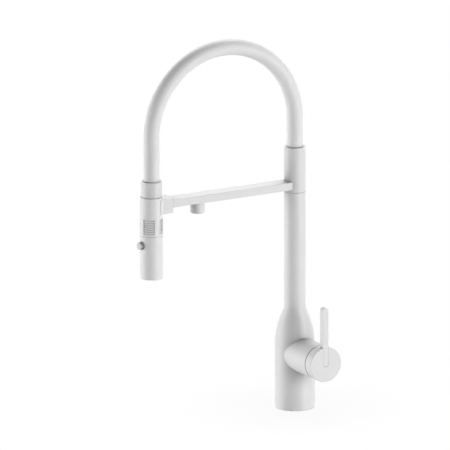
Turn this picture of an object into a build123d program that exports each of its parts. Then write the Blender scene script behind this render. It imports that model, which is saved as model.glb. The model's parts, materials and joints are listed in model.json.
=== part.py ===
"""Kitchen mixer tap with an arched hose, a docked hand spray and a second outlet.

Millimetres. The origin is on the tap's axis at the worktop. +Z is up, the spout
points along -Y and the lever is on the +X side.
"""
import os
from math import asin, cos, radians, sin, sqrt

from build123d import *

# Fits between pieces, all radial or face to face
FIT = 0.05
RUN = 0.05
FREE = 0.3

# Base and riser
BASE_D = 52.0
BASE_EDGE = 0.6
SHOULDER_START = 85.5
SHOULDER_TOP = 133.0
RISER_D = 28.0
RISER_WALL = 3.5
RISER_TOP = 289.4
RISER_PLUG = 14.0
PLUG_WALL = 2.0
GASKET_WIDTH = 2.5
GASKET_T = 2.0

# Inlet block in the base, with M8 and M10x1 core holes
BLOCK_D = 42.0
BLOCK_H = 24.0
STUD_D = 6.8
STUD_DEPTH = 16.0
INLET_D = 9.0
INLET_DEPTH = 12.0
INLET_X = 8.0
INLET_SPREAD = 20.0
FILTER_INLET_X = -12.5
BLOCK_SCREW_D = 4.0
BLOCK_SCREW_X = -7.0
BLOCK_SCREW_SPREAD = 28.0
BLOCK_SCREW_HEAD_D = 7.0
BLOCK_SCREW_HEAD_H = 3.0
BLOCK_SCREW_KEY_DEPTH = 2.0
BLOCK_SCREW_L = 32.0
PASSAGE_D = 6.0

# Water ways side by side in the riser
MIXED_X = 4.0
MIXED_D = 7.6
FILTER_X = -4.5
FILTER_TUBE_D = 5.0
FILTER_TUBE_WALL = 1.0
FILTER_TURN_Z = 34.0
RISER_FLOOR = 102.0

# Handle boss and cartridge on the handle axis
HANDLE_Z = 74.0
BOSS_D = 46.0
BOSS_END = 65.6
SEAT_X = 22.0
CARTRIDGE_D = 36.0
CARTRIDGE_SEAL_T = 1.5
CARTRIDGE_BASE_L = 10.0
PORT_D = 6.0
PORT_SPREAD = 19.0
PORT_DROP = 5.5
OUTLET_RISE = 5.0
DISC_D = 29.0
DISC_T = 4.0
MIX_SLOT_W = 8.0
MIX_SLOT_L = 24.0
MIX_SLOT_DEPTH = 2.0
HOUSING_L = 22.5
SPINDLE_FLANGE_T = 3.4
SPINDLE_D = 12.0
SPINDLE_END_D = 9.0
NUT_L = 6.0
NUT_BORE_D = 17.0
NUT_HOLE_D = 3.0
NUT_HOLES = 6

# Flow valve inside the cartridge
PLUNGER_D = 5.0
PLUNGER_DOME_R = 5.0
STEM_D = 3.0
STEM_HOLE_D = 6.4
POPPET_D = 9.0
POPPET_T = 1.8
CHAMBER_D = 12.0
CHAMBER_FLOOR_T = 1.5
FLOW_SPRING_WIRE = 0.8
FLOW_SPRING_TURNS = 4

# Handle hub and lever
HUB_GAP = 1.1
HUB_L = 13.9
HUB_RECESS_D = 38.0
HUB_RECESS_DEPTH = 3.8
HUB_SOCKET_D = 19.0
HUB_EDGE = 0.4
HUB_SOCKET_WALL = 1.0
SLOT_GAP = 0.08
SLOT_END_GAP = 0.95
LIP_T = 0.6
LIP_GAP = 0.2
GRUB_D = 2.5
LEVER_W = 8.0
LEVER_T = 8.4
LEVER_HEEL_DROP = 2.8
LEVER_TIP_Z = 150.0
LEVER_EDGE = 0.15
PIN_D = 3.0
PIN_RISE = 6.0
PIN_INSET = 4.2
PIN_GRIP = 4.5
LEVER_TILT = 20.0
HEEL_GAP = 0.1
WIPER_INSET = 0.12

# Swivel collar on the riser
COLLAR_D = 28.0
COLLAR_WALL = 3.0
COLLAR_H = 60.0
GLIDE_T = 0.6
GLIDE_INSET = 0.3
SPIGOT_PLUG = 20.0
SPIGOT_UP = 35.6
SEAL_SECTION = 2.0
SEAL_GROOVE = 2.6
SEAL_OFFSET = 6.0
SEAL_GAP = 0.03
GALLERY_W = 4.0
GALLERY_DEPTH = 1.4
KEEP_GROOVE_W = 3.6
KEEP_GROOVE_DEPTH = 1.2
KEEP_OFFSET = 18.0
COLLAR_SCREW_D = 3.0
WEB_T = 3.0
WEB_HOLE_D = 12.0
SOCKET_D = 22.2
COLLAR_EDGE = 0.5
GROMMET_H = 6.0
GROMMET_PROUD = 0.5

# Bracket arm, second outlet and dock
REACH = 215.5
ARM_Z = 299.2
ARM_W = 21.0
ARM_H = 10.4
ARM_EDGE = 0.8
ARM_STUB_D = 8.0
ARM_CHANNEL_D = 5.0
NOZZLE_REACH = 146.5
NOZZLE_D = 18.6
NOZZLE_DROP = 14.4
NOZZLE_EDGE = 2.0
NOZZLE_THREAD_D = 12.0
NOZZLE_THREAD_L = 4.0
NOZZLE_WAY_D = 6.0
NOZZLE_WASHER_T = 1.0
NOZZLE_HEADROOM = 0.6
AERATOR_D = 14.6
AERATOR_L = 5.0
AERATOR_INSET = 1.0
MESH_HOLE_D = 1.5
MESH_PITCH = 2.4
DOCK_OUTER_R = 28.6
DOCK_W = 24.6
DOCK_TOP = 307.2
DOCK_H = 19.6
DOCK_EDGE = 1.2
DOCK_TENON = 6.0
PAD_T = 2.0
PAD_GAP = 0.1
WING_T = 0.6
WING_WRAP = 67.0
MAGNET_D = 10.0
MAGNET_T = 3.0
DOCK_SCREW_D = 4.0

# Arched hose
HOSE_D = 21.0
HOSE_WALL = 2.5
INNER_HOSE_WALL = 2.9
ARCH_Z = 388.3
NIPPLE_FLANGE_D = 20.0
NIPPLE_FLANGE_T = 3.0
NIPPLE_TAIL = 18.0
NIPPLE_WALL = 1.6

# Ferrule at the hand spray's end of the hose
FERRULE_D = 27.6
FERRULE_BOTTOM = 310.6
FERRULE_H = 20.8
FERRULE_WEB = 5.0
STUB_D = 12.0
STUB_L = 15.0
STUB_SEAL_SECTION = 1.6
STUB_SEAL_DROP = 8.0
CLIP_T = 1.0
CLIP_D = 14.4
CLIP_GROOVE_DEPTH = 0.8

# Hand spray
HANDSET_D = 30.0
HANDSET_BOTTOM = 200.8
HANDSET_WALL = 2.3
HANDSET_EDGE = 1.4
GRIP_TOP_T = 4.0
SEAM_Z = 259.0
SEAM_GAP = 0.35
TONGUE_L = 5.0
TONGUE_WALL = 0.8
GROOVES = 7
GROOVE_PITCH = 2.95
GROOVE_W = 1.6
GROOVE_DEPTH = 1.7
GROOVE_HALF_ANGLE = 32.0
GRIP_RISE = 13.0
GRIP_PATCHES = 4
CORE_CHAMBER_D = 15.0
CORE_WAY_D = 8.0
VALVE_L = 13.0
VALVE_STEP = 12.0
KEEPER_W = 10.0
KEEPER_H = 14.0
KEEPER_T = 2.4
KEEPER_INSET = 1.6
PLATE_T = 4.6
PLATE_INSET = 0.6
JET_D = 13.0
JET_INSET = 0.6
SPRAY_RING_D = 19.6
SPRAY_HOLE_D = 2.0
SPRAY_HOLES = 16
SPRAY_PROUD = 0.5
SPRAY_CHAMBER_H = 8.0
SPRAY_CHAMBER_D = 22.0

# Push button on the hand spray
BUTTON_D = 10.4
BUTTON_DROP = 13.0
BUTTON_PROUD = 4.2
BUTTON_L = 9.4
BUTTON_CAP_T = 1.3
BUTTON_SLEEVE_D = 10.0
BUTTON_STEM_D = 7.0
BUTTON_TRAVEL = 2.5
BUTTON_EDGE = 0.7
SPOOL_D = 5.8
SPOOL_L = 12.0
SPOOL_WAIST_D = 3.4
SPOOL_WAIST_L = 5.0
BUTTON_SPRING_L = 6.0
BUTTON_SPRING_WIRE = 0.6
BUTTON_SPRING_TURNS = 4

# Worked out from the values above
base_r = BASE_D / 2
riser_r = RISER_D / 2
riser_bore_r = riser_r - RISER_WALL
plug_r = riser_bore_r + PLUG_WALL
collar_r = COLLAR_D / 2
collar_bore_r = collar_r - COLLAR_WALL
collar_bottom = RISER_TOP + GLIDE_T + FIT
collar_top = collar_bottom + COLLAR_H
spigot_r = collar_bore_r - RUN
spigot_top = RISER_TOP + SPIGOT_UP
seal_floor_r = collar_bore_r - SEAL_GAP - SEAL_SECTION
web_bottom = spigot_top + FREE
web_top = web_bottom + WEB_T
seal_x = SEAT_X + CARTRIDGE_SEAL_T
disc_x = seal_x + CARTRIDGE_BASE_L
turning_x = disc_x + DISC_T + FIT
flange_x = turning_x + DISC_T
flange_end = flange_x + SPINDLE_FLANGE_T
nut_x = disc_x + HOUSING_L
hub_x = BOSS_END + HUB_GAP
hub_face = hub_x + HUB_L
lever_back = hub_face - LEVER_T
slot_floor = lever_back - FREE
socket_floor = slot_floor - HUB_SOCKET_WALL
spindle_end = socket_floor - FIT
pin_x = hub_face - PIN_INSET
pin_z = HANDLE_Z + PIN_RISE
heel_z = HANDLE_Z - LEVER_HEEL_DROP + LEVER_W / 2
tilt = radians(LEVER_TILT)
heel_reach = pin_x - slot_floor - HEEL_GAP
dome_rest = (PIN_RISE * sin(tilt) - heel_reach - PLUNGER_DOME_R) / cos(tilt) + PLUNGER_DOME_R
plunger_end = pin_x + dome_rest - FIT
poppet_x = disc_x - FIT - POPPET_T
chamber_x = seal_x + CHAMBER_FLOOR_T
hose_start = web_top + NIPPLE_FLANGE_T
hose_end = FERRULE_BOTTOM + FERRULE_WEB + NIPPLE_FLANGE_T
arch_r = REACH / 2
hose_r = HOSE_D / 2
inner_hose_r = hose_r - HOSE_WALL - FIT
tail_r = inner_hose_r - INNER_HOSE_WALL - FIT
dock_bottom = DOCK_TOP - DOCK_H
handset_r = HANDSET_D / 2
pad_r = handset_r + PAD_GAP
saddle_r = pad_r + PAD_T + FIT
arm_bottom = ARM_Z - ARM_H / 2
arm_end = REACH - DOCK_OUTER_R + DOCK_TENON
nozzle_bottom = arm_bottom - NOZZLE_DROP
thread_top = arm_bottom + NOZZLE_THREAD_L
grip_top = FERRULE_BOTTOM - FREE
grip_bore_r = handset_r - HANDSET_WALL
tongue_r = grip_bore_r + TONGUE_WALL
core_r = grip_bore_r - FIT
core_top = grip_top - GRIP_TOP_T - FIT
stub_end = FERRULE_BOTTOM - STUB_L
clip_z = stub_end + CLIP_T
chamber_top = clip_z + CLIP_T + FREE
plate_bottom = HANDSET_BOTTOM + PLATE_INSET
core_bottom = plate_bottom + PLATE_T + FIT
grip_centre_z = SEAM_Z + GRIP_RISE
button_z = SEAM_Z - BUTTON_DROP
button_face = handset_r + BUTTON_PROUD
button_back = button_face - BUTTON_L
pocket_floor = button_back - BUTTON_TRAVEL - FREE
spool_end = button_back - SPOOL_L
spring_floor = spool_end - BUTTON_SPRING_L
valve_bottom = chamber_top - VALVE_STEP - VALVE_L

from_bottom = (Align.CENTER, Align.CENTER, Align.MIN)
os.makedirs("parts", exist_ok=True)


def handle_plane(x):
    """A plane across the handle axis: its own x is +Y, its y is +Z, and it faces +X."""
    return Plane(origin=(x, 0, HANDLE_Z), x_dir=(0, 1, 0), z_dir=(1, 0, 0))


def handset_plane(z):
    """A level plane on the hand spray's axis."""
    return Plane(origin=(0, -REACH, z))


def button_plane(distance):
    """A plane across the button's axis, facing -Y, at a distance from the spray's axis."""
    return Plane(origin=(0, -REACH - distance, button_z), x_dir=(1, 0, 0), z_dir=(0, -1, 0))


def arm_plane(y, z):
    """A plane across the arm's axis, facing -Y."""
    return Plane(origin=(0, -y, z), x_dir=(1, 0, 0), z_dir=(0, -1, 0))


def rod(plane, diameter, length, mode=Mode.ADD):
    """A round bar that starts on a plane and runs along its normal."""
    with Locations(plane):
        Cylinder(diameter / 2, length, align=from_bottom, mode=mode)


def ring(plane, outer, inner, length, mode=Mode.ADD):
    """A tube that starts on a plane, made as one sketch so it can also cut a groove."""
    tube = Solid.extrude(Face(Wire.make_circle(outer / 2, plane)), plane.z_dir * length)
    bore = Solid.extrude(Face(Wire.make_circle(inner / 2, plane)), plane.z_dir * length)
    add(tube - bore, mode=mode)


def mesh_holes(plane, radius, length):
    """Rows of small holes inside a circle, cut along the plane's normal."""
    rows = int(radius / MESH_PITCH)
    steps = range(-rows, rows + 1)
    reach = radius - MESH_HOLE_D
    spots = [(i * MESH_PITCH, j * MESH_PITCH) for i in steps for j in steps]
    inside = [spot for spot in spots if sqrt(spot[0] ** 2 + spot[1] ** 2) <= reach]
    with Locations(plane):
        with Locations(inside):
            Cylinder(MESH_HOLE_D / 2, length, align=from_bottom, mode=Mode.SUBTRACT)


def save(builder, name):
    """Label a finished piece and write it."""
    builder.part.label = name
    export_step(builder.part, f"parts/{name}.step")


# Base body: bottle-shaped casting with the handle boss, cartridge bore and water ways
with BuildPart() as base_body:
    with BuildSketch(Plane.XZ):
        with BuildLine():
            Polyline((0, 0), (base_r - BASE_EDGE, 0), (base_r, BASE_EDGE), (base_r, SHOULDER_START))
            TangentArc((base_r, SHOULDER_START), (riser_r, SHOULDER_TOP), tangent=(0, 1))
            Polyline((riser_r, SHOULDER_TOP), (0, SHOULDER_TOP), (0, 0))
        make_face()
    revolve(axis=Axis.Z)
    rod(handle_plane(0), BOSS_D, BOSS_END)
    rod(Plane.XY, BLOCK_D, BLOCK_H, Mode.SUBTRACT)
    rod(Plane.XY, BLOCK_D + 2 * GASKET_WIDTH, GASKET_T, Mode.SUBTRACT)
    rod(Plane.XY.offset(SHOULDER_TOP - RISER_PLUG), 2 * (plug_r + FIT), RISER_PLUG, Mode.SUBTRACT)
    rod(Plane.XY.offset(RISER_FLOOR), 2 * riser_bore_r, SHOULDER_TOP - RISER_FLOOR, Mode.SUBTRACT)
    rod(handle_plane(SEAT_X), CARTRIDGE_D + 2 * FIT, BOSS_END - SEAT_X, Mode.SUBTRACT)
    for side in (-1, 1):
        port_y = side * PORT_SPREAD / 2
        port_z = HANDLE_Z - PORT_DROP
        inlet_way = Plane(origin=(INLET_X, port_y, BLOCK_H))
        rod(inlet_way, PASSAGE_D, port_z - BLOCK_H, Mode.SUBTRACT)
        port_way = Plane(origin=(INLET_X, port_y, port_z), x_dir=(0, 1, 0), z_dir=(1, 0, 0))
        rod(port_way, PORT_D, SEAT_X - INLET_X, Mode.SUBTRACT)
    outlet_z = HANDLE_Z + OUTLET_RISE
    outlet_way = Plane(origin=(MIXED_X, 0, outlet_z), x_dir=(0, 1, 0), z_dir=(1, 0, 0))
    rod(outlet_way, PORT_D, SEAT_X - MIXED_X, Mode.SUBTRACT)
    rod(Plane(origin=(MIXED_X, 0, outlet_z)), MIXED_D, RISER_FLOOR - outlet_z, Mode.SUBTRACT)
    filter_bore = FILTER_TUBE_D + 2 * FIT
    filter_foot = Plane(origin=(FILTER_INLET_X, 0, BLOCK_H))
    rod(filter_foot, filter_bore, FILTER_TURN_Z - BLOCK_H, Mode.SUBTRACT)
    filter_turn = Plane(origin=(FILTER_INLET_X, 0, FILTER_TURN_Z), x_dir=(0, 1, 0), z_dir=(1, 0, 0))
    rod(filter_turn, filter_bore, FILTER_X - FILTER_INLET_X, Mode.SUBTRACT)
    filter_rise = Plane(origin=(FILTER_X, 0, FILTER_TURN_Z))
    rod(filter_rise, filter_bore, RISER_FLOOR - FILTER_TURN_Z, Mode.SUBTRACT)
    for side in (-1, 1):
        screw_foot = Plane(origin=(BLOCK_SCREW_X, side * BLOCK_SCREW_SPREAD / 2, BLOCK_H))
        rod(screw_foot, BLOCK_SCREW_D, BLOCK_SCREW_L - BLOCK_H + FREE, Mode.SUBTRACT)
save(base_body, "base_body")

# Riser: the slim column, plugged into the top of the base body
with BuildPart() as riser_tube:
    rod(Plane.XY.offset(SHOULDER_TOP), RISER_D, RISER_TOP - SHOULDER_TOP)
    rod(Plane.XY.offset(SHOULDER_TOP - RISER_PLUG), 2 * plug_r, RISER_PLUG)
    rod(Plane.XY.offset(SHOULDER_TOP - RISER_PLUG), 2 * riser_bore_r,
        RISER_TOP - SHOULDER_TOP + RISER_PLUG, Mode.SUBTRACT)
save(riser_tube, "riser_tube")

# Gasket between the base and the worktop
with BuildPart() as base_gasket:
    ring(Plane.XY, BLOCK_D + 2 * GASKET_WIDTH - 2 * FIT, BLOCK_D, GASKET_T)
save(base_gasket, "base_gasket")

# Inlet block: fixing stud hole in the middle, cold, hot and filtered inlets round it
with BuildPart() as inlet_block:
    rod(Plane.XY, BLOCK_D - 2 * FIT, BLOCK_H)
    rod(Plane.XY, STUD_D, STUD_DEPTH, Mode.SUBTRACT)
    for side in (-1, 1):
        inlet = Plane(origin=(INLET_X, side * INLET_SPREAD / 2, 0))
        rod(inlet, INLET_D, INLET_DEPTH, Mode.SUBTRACT)
        rise = Plane(origin=(INLET_X, side * PORT_SPREAD / 2, INLET_DEPTH))
        rod(rise, PASSAGE_D, BLOCK_H - INLET_DEPTH, Mode.SUBTRACT)
        screw_way = Plane(origin=(BLOCK_SCREW_X, side * BLOCK_SCREW_SPREAD / 2, 0))
        rod(screw_way, BLOCK_SCREW_D + 2 * FIT, BLOCK_H, Mode.SUBTRACT)
        rod(screw_way, BLOCK_SCREW_HEAD_D + 2 * FIT, BLOCK_SCREW_HEAD_H, Mode.SUBTRACT)
    filter_inlet = Plane(origin=(FILTER_INLET_X, 0, 0))
    rod(filter_inlet, INLET_D, INLET_DEPTH, Mode.SUBTRACT)
    rod(filter_inlet, FILTER_TUBE_D + 2 * FIT, BLOCK_H, Mode.SUBTRACT)
save(inlet_block, "inlet_block")

# Two screws that hold the inlet block up in the base
with BuildPart() as block_screws:
    for side in (-1, 1):
        screw_foot = Plane(origin=(BLOCK_SCREW_X, side * BLOCK_SCREW_SPREAD / 2, 0))
        rod(screw_foot, BLOCK_SCREW_HEAD_D, BLOCK_SCREW_HEAD_H)
        rod(screw_foot, BLOCK_SCREW_D - 2 * FIT, BLOCK_SCREW_L)
        with BuildSketch(screw_foot):
            RegularPolygon(BLOCK_SCREW_D / 2, 6)
        extrude(amount=BLOCK_SCREW_KEY_DEPTH, mode=Mode.SUBTRACT)
save(block_screws, "block_screws")

# Filtered water tube, up through the riser into the swivel spigot
with BuildPart() as filter_tube:
    tube_foot = Plane(origin=(FILTER_X, 0, FILTER_TURN_Z + FILTER_TUBE_D))
    tube_length = ARM_Z - GALLERY_W / 2 - FILTER_TURN_Z - FILTER_TUBE_D
    rod(tube_foot, FILTER_TUBE_D, tube_length)
    rod(tube_foot, FILTER_TUBE_D - 2 * FILTER_TUBE_WALL, tube_length, Mode.SUBTRACT)
save(filter_tube, "filter_tube")

# Rubber seal under the cartridge, with its three ports
ports = [(-PORT_SPREAD / 2, -PORT_DROP), (PORT_SPREAD / 2, -PORT_DROP)]
with BuildPart() as cartridge_seal:
    rod(handle_plane(SEAT_X), CARTRIDGE_D, CARTRIDGE_SEAL_T)
    with Locations(handle_plane(SEAT_X)):
        with Locations(ports + [(0, OUTLET_RISE)]):
            Cylinder(PORT_D / 2, CARTRIDGE_SEAL_T, align=from_bottom, mode=Mode.SUBTRACT)
save(cartridge_seal, "cartridge_seal")

# Cartridge base, with the valve chamber behind the fixed disc
with BuildPart() as cartridge_base:
    rod(handle_plane(seal_x), CARTRIDGE_D, CARTRIDGE_BASE_L)
    rod(handle_plane(chamber_x), CHAMBER_D, disc_x - chamber_x, Mode.SUBTRACT)
    with Locations(handle_plane(seal_x)):
        with Locations(ports):
            Cylinder(PORT_D / 2, CARTRIDGE_BASE_L, align=from_bottom, mode=Mode.SUBTRACT)
        with Locations((0, OUTLET_RISE)):
            Cylinder(PORT_D / 2, CHAMBER_FLOOR_T + FIT, align=from_bottom, mode=Mode.SUBTRACT)
save(cartridge_base, "cartridge_base")

# Fixed ceramic disc
with BuildPart() as fixed_disc:
    rod(handle_plane(disc_x), DISC_D - 2 * FIT, DISC_T)
    rod(handle_plane(disc_x), STEM_HOLE_D, DISC_T, Mode.SUBTRACT)
    with Locations(handle_plane(disc_x)):
        with Locations(ports):
            Cylinder(PORT_D / 2, DISC_T, align=from_bottom, mode=Mode.SUBTRACT)
save(fixed_disc, "fixed_disc")

# Cartridge housing round the discs and the spindle
with BuildPart() as cartridge_housing:
    rod(handle_plane(disc_x), CARTRIDGE_D, HOUSING_L)
    rod(handle_plane(disc_x), DISC_D, flange_end + FREE - disc_x, Mode.SUBTRACT)
    rod(handle_plane(disc_x), SPINDLE_D + 2 * RUN, HOUSING_L, Mode.SUBTRACT)
save(cartridge_housing, "cartridge_housing")

# Nut that holds the cartridge in the boss, with holes for its spanner
with BuildPart() as cartridge_nut:
    rod(handle_plane(nut_x), CARTRIDGE_D, NUT_L)
    rod(handle_plane(nut_x), NUT_BORE_D, NUT_L, Mode.SUBTRACT)
    with Locations(handle_plane(nut_x)):
        with PolarLocations((CARTRIDGE_D + NUT_BORE_D) / 4, NUT_HOLES):
            Cylinder(NUT_HOLE_D / 2, NUT_L, align=from_bottom, mode=Mode.SUBTRACT)
save(cartridge_nut, "cartridge_nut")

# Turning ceramic disc, with the slot that mixes the two inlets
with BuildPart() as turning_disc:
    rod(handle_plane(turning_x), DISC_D - 4 * FREE, DISC_T)
    with BuildSketch(handle_plane(turning_x)):
        SlotOverall(MIX_SLOT_L, MIX_SLOT_W)
    extrude(amount=MIX_SLOT_DEPTH, mode=Mode.SUBTRACT)
    rod(handle_plane(turning_x), PLUNGER_D + 2 * RUN, DISC_T, Mode.SUBTRACT)
save(turning_disc, "turning_disc")

# Hollow spindle that the hub turns
with BuildPart() as mixing_spindle:
    rod(handle_plane(flange_x), DISC_D - 4 * FREE, SPINDLE_FLANGE_T)
    rod(handle_plane(flange_x), SPINDLE_D, nut_x - flange_x)
    rod(handle_plane(flange_x), SPINDLE_END_D, spindle_end - flange_x)
    rod(handle_plane(flange_x), PLUNGER_D + 2 * RUN, spindle_end - flange_x, Mode.SUBTRACT)
save(mixing_spindle, "mixing_spindle")

# Flow plunger: the lever's heel pushes it in, and its poppet leaves the fixed disc
with BuildPart() as flow_plunger:
    plunger_r = PLUNGER_D / 2
    dome_angle = asin(plunger_r / PLUNGER_DOME_R)
    dome_x = plunger_end - PLUNGER_DOME_R
    dome_start = (dome_x + PLUNGER_DOME_R * cos(dome_angle), plunger_r)
    dome_middle = (dome_x + PLUNGER_DOME_R * cos(dome_angle / 2), PLUNGER_DOME_R * sin(dome_angle / 2))
    with BuildSketch(Plane(origin=(0, 0, HANDLE_Z), x_dir=(1, 0, 0), z_dir=(0, -1, 0))):
        with BuildLine():
            Polyline((plunger_end, 0), (poppet_x, 0), (poppet_x, POPPET_D / 2),
                     (poppet_x + POPPET_T, POPPET_D / 2), (poppet_x + POPPET_T, STEM_D / 2),
                     (turning_x, STEM_D / 2), (turning_x, plunger_r), dome_start)
            ThreePointArc(dome_start, dome_middle, (plunger_end, 0))
        make_face()
    revolve(axis=Axis((0, 0, HANDLE_Z), (1, 0, 0)))
save(flow_plunger, "flow_plunger")

# Spring that shuts the poppet
flow_spring_l = poppet_x - chamber_x - 2 * FIT - FLOW_SPRING_WIRE
flow_spring_x = chamber_x + FIT + FLOW_SPRING_WIRE / 2
with BuildPart() as flow_spring:
    with BuildLine() as flow_coil:
        Helix(flow_spring_l / FLOW_SPRING_TURNS, flow_spring_l, POPPET_D / 2 - FLOW_SPRING_WIRE,
              center=(flow_spring_x, 0, HANDLE_Z), direction=(1, 0, 0))
    with BuildSketch(Plane(origin=flow_coil.line @ 0, z_dir=flow_coil.line % 0)):
        Circle(FLOW_SPRING_WIRE / 2)
    sweep(path=flow_coil.line, is_frenet=True)
save(flow_spring, "flow_spring")

# Wiper ring on the boss's end, which the hub turns on
with BuildPart() as hub_wiper:
    ring(handle_plane(BOSS_END), BOSS_D - 2 * WIPER_INSET, HUB_RECESS_D, HUB_GAP - RUN)
save(hub_wiper, "hub_wiper")

# Handle hub: turns on the boss, slotted for the lever, with a lip over the end of the slot
with BuildPart() as handle_hub:
    rod(handle_plane(hub_x), BOSS_D, HUB_L)
    rim = handle_hub.edges().filter_by(GeomType.CIRCLE)
    chamfer(rim, HUB_EDGE)
    ring(handle_plane(hub_x), HUB_RECESS_D, HUB_SOCKET_D, HUB_RECESS_DEPTH, Mode.SUBTRACT)
    rod(handle_plane(hub_x), SPINDLE_END_D + 2 * FIT, socket_floor - hub_x, Mode.SUBTRACT)
    rod(handle_plane(hub_x), PLUNGER_D + 2 * RUN, slot_floor - hub_x, Mode.SUBTRACT)
    for end_gap, slot_top in ((SLOT_END_GAP, hub_face - LIP_T), (LIP_GAP, hub_face)):
        with BuildSketch(handle_plane(slot_floor)):
            with Locations((0, heel_z - end_gap - HANDLE_Z)):
                Circle(LEVER_W / 2 + SLOT_GAP)
                Rectangle(LEVER_W + 2 * SLOT_GAP, BOSS_D, align=(Align.CENTER, Align.MIN))
        extrude(amount=slot_top - slot_floor, mode=Mode.SUBTRACT)
    pin_way = Plane(origin=(pin_x, -LEVER_W / 2 - PIN_GRIP, pin_z), x_dir=(1, 0, 0), z_dir=(0, 1, 0))
    rod(pin_way, PIN_D + 2 * FIT, BOSS_D, Mode.SUBTRACT)
    grub_way = Plane(origin=(hub_x + HUB_RECESS_DEPTH / 2, 0, HANDLE_Z), x_dir=(1, 0, 0), z_dir=(0, 0, -1))
    rod(grub_way, GRUB_D + 2 * FIT, BOSS_D, Mode.SUBTRACT)
save(handle_hub, "handle_hub")

# Grub screw between the hub's socket and the spindle
with BuildPart() as hub_grub_screw:
    grub_foot = Plane(origin=(hub_x + HUB_RECESS_DEPTH / 2, 0, HANDLE_Z - SPINDLE_END_D / 2 - FIT),
                      x_dir=(1, 0, 0), z_dir=(0, 0, -1))
    grub_l = (HUB_SOCKET_D - SPINDLE_END_D) / 2
    rod(grub_foot, GRUB_D, grub_l)
    with BuildSketch(grub_foot.offset(grub_l)):
        RegularPolygon(GRUB_D / 4, 6)
    extrude(amount=-GRUB_D / 2, mode=Mode.SUBTRACT)
save(hub_grub_screw, "hub_grub_screw")

# Pin that the lever tilts on
with BuildPart() as lever_pin:
    pin_foot = Plane(origin=(pin_x, -LEVER_W / 2 - PIN_GRIP, pin_z), x_dir=(1, 0, 0), z_dir=(0, 1, 0))
    rod(pin_foot, PIN_D, LEVER_W + 2 * PIN_GRIP)
save(lever_pin, "lever_pin")

# Lever: a square bar with round ends, let into the hub's face
with BuildPart() as lever_bar:
    with BuildSketch(handle_plane(lever_back)):
        tip_y = LEVER_TIP_Z - HANDLE_Z - LEVER_W / 2
        heel_y = heel_z - HANDLE_Z
        with Locations((0, (tip_y + heel_y) / 2)):
            SlotCenterToCenter(tip_y - heel_y, LEVER_W, rotation=90)
    extrude(amount=LEVER_T)
    front = lever_bar.faces().sort_by(Axis.X)[-1]
    chamfer(front.edges(), LEVER_EDGE)
    heel_flat = Plane(origin=(pin_x - heel_reach * cos(tilt), 0, pin_z - heel_reach * sin(tilt)),
                      x_dir=(0, 1, 0), z_dir=(-cos(tilt), 0, -sin(tilt)))
    with Locations(heel_flat):
        Box(2 * LEVER_W, 4 * LEVER_T, LEVER_T, align=from_bottom, mode=Mode.SUBTRACT)
    pin_hole = Plane(origin=(pin_x, -LEVER_W, pin_z), x_dir=(1, 0, 0), z_dir=(0, 1, 0))
    rod(pin_hole, PIN_D + 2 * RUN, 2 * LEVER_W, Mode.SUBTRACT)
save(lever_bar, "lever_bar")

# Swivel spigot: fixed in the riser, the collar turns on it
with BuildPart() as swivel_spigot:
    rod(Plane.XY.offset(RISER_TOP - SPIGOT_PLUG), 2 * (riser_bore_r - FIT), SPIGOT_PLUG)
    rod(Plane.XY.offset(RISER_TOP), 2 * spigot_r, SPIGOT_UP)
    for side in (-1, 1):
        groove_z = ARM_Z + side * SEAL_OFFSET - SEAL_GROOVE / 2
        ring(Plane.XY.offset(groove_z), RISER_D, 2 * (seal_floor_r - FIT), SEAL_GROOVE, Mode.SUBTRACT)
    gallery_r = spigot_r - GALLERY_DEPTH
    ring(Plane.XY.offset(ARM_Z - GALLERY_W / 2), RISER_D, 2 * gallery_r, GALLERY_W, Mode.SUBTRACT)
    keep_z = ARM_Z + KEEP_OFFSET - KEEP_GROOVE_W / 2
    keep_r = spigot_r - KEEP_GROOVE_DEPTH
    ring(Plane.XY.offset(keep_z), RISER_D, 2 * keep_r, KEEP_GROOVE_W, Mode.SUBTRACT)
    mixed_way = Plane(origin=(MIXED_X, 0, RISER_TOP - SPIGOT_PLUG))
    rod(mixed_way, MIXED_D, SPIGOT_PLUG + SPIGOT_UP, Mode.SUBTRACT)
    tube_way = Plane(origin=(FILTER_X, 0, RISER_TOP - SPIGOT_PLUG))
    rod(tube_way, FILTER_TUBE_D + 2 * FIT, ARM_Z - RISER_TOP + SPIGOT_PLUG, Mode.SUBTRACT)
    gallery_way = Plane(origin=(FILTER_X, 0, ARM_Z), x_dir=(0, 1, 0), z_dir=(-1, 0, 0))
    rod(gallery_way, GALLERY_W - 2 * FIT, spigot_r, Mode.SUBTRACT)
save(swivel_spigot, "swivel_spigot")

# Two rubber rings on the spigot, one each side of the filtered water's gallery
with BuildPart() as swivel_seals:
    for side in (-1, 1):
        with Locations((0, 0, ARM_Z + side * SEAL_OFFSET)):
            Torus(seal_floor_r + SEAL_SECTION / 2, SEAL_SECTION / 2)
save(swivel_seals, "swivel_seals")

# Glide ring between the riser and the collar
with BuildPart() as glide_ring:
    ring(Plane.XY.offset(RISER_TOP), RISER_D - 2 * GLIDE_INSET, 2 * (spigot_r + FIT), GLIDE_T)
save(glide_ring, "glide_ring")

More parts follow.
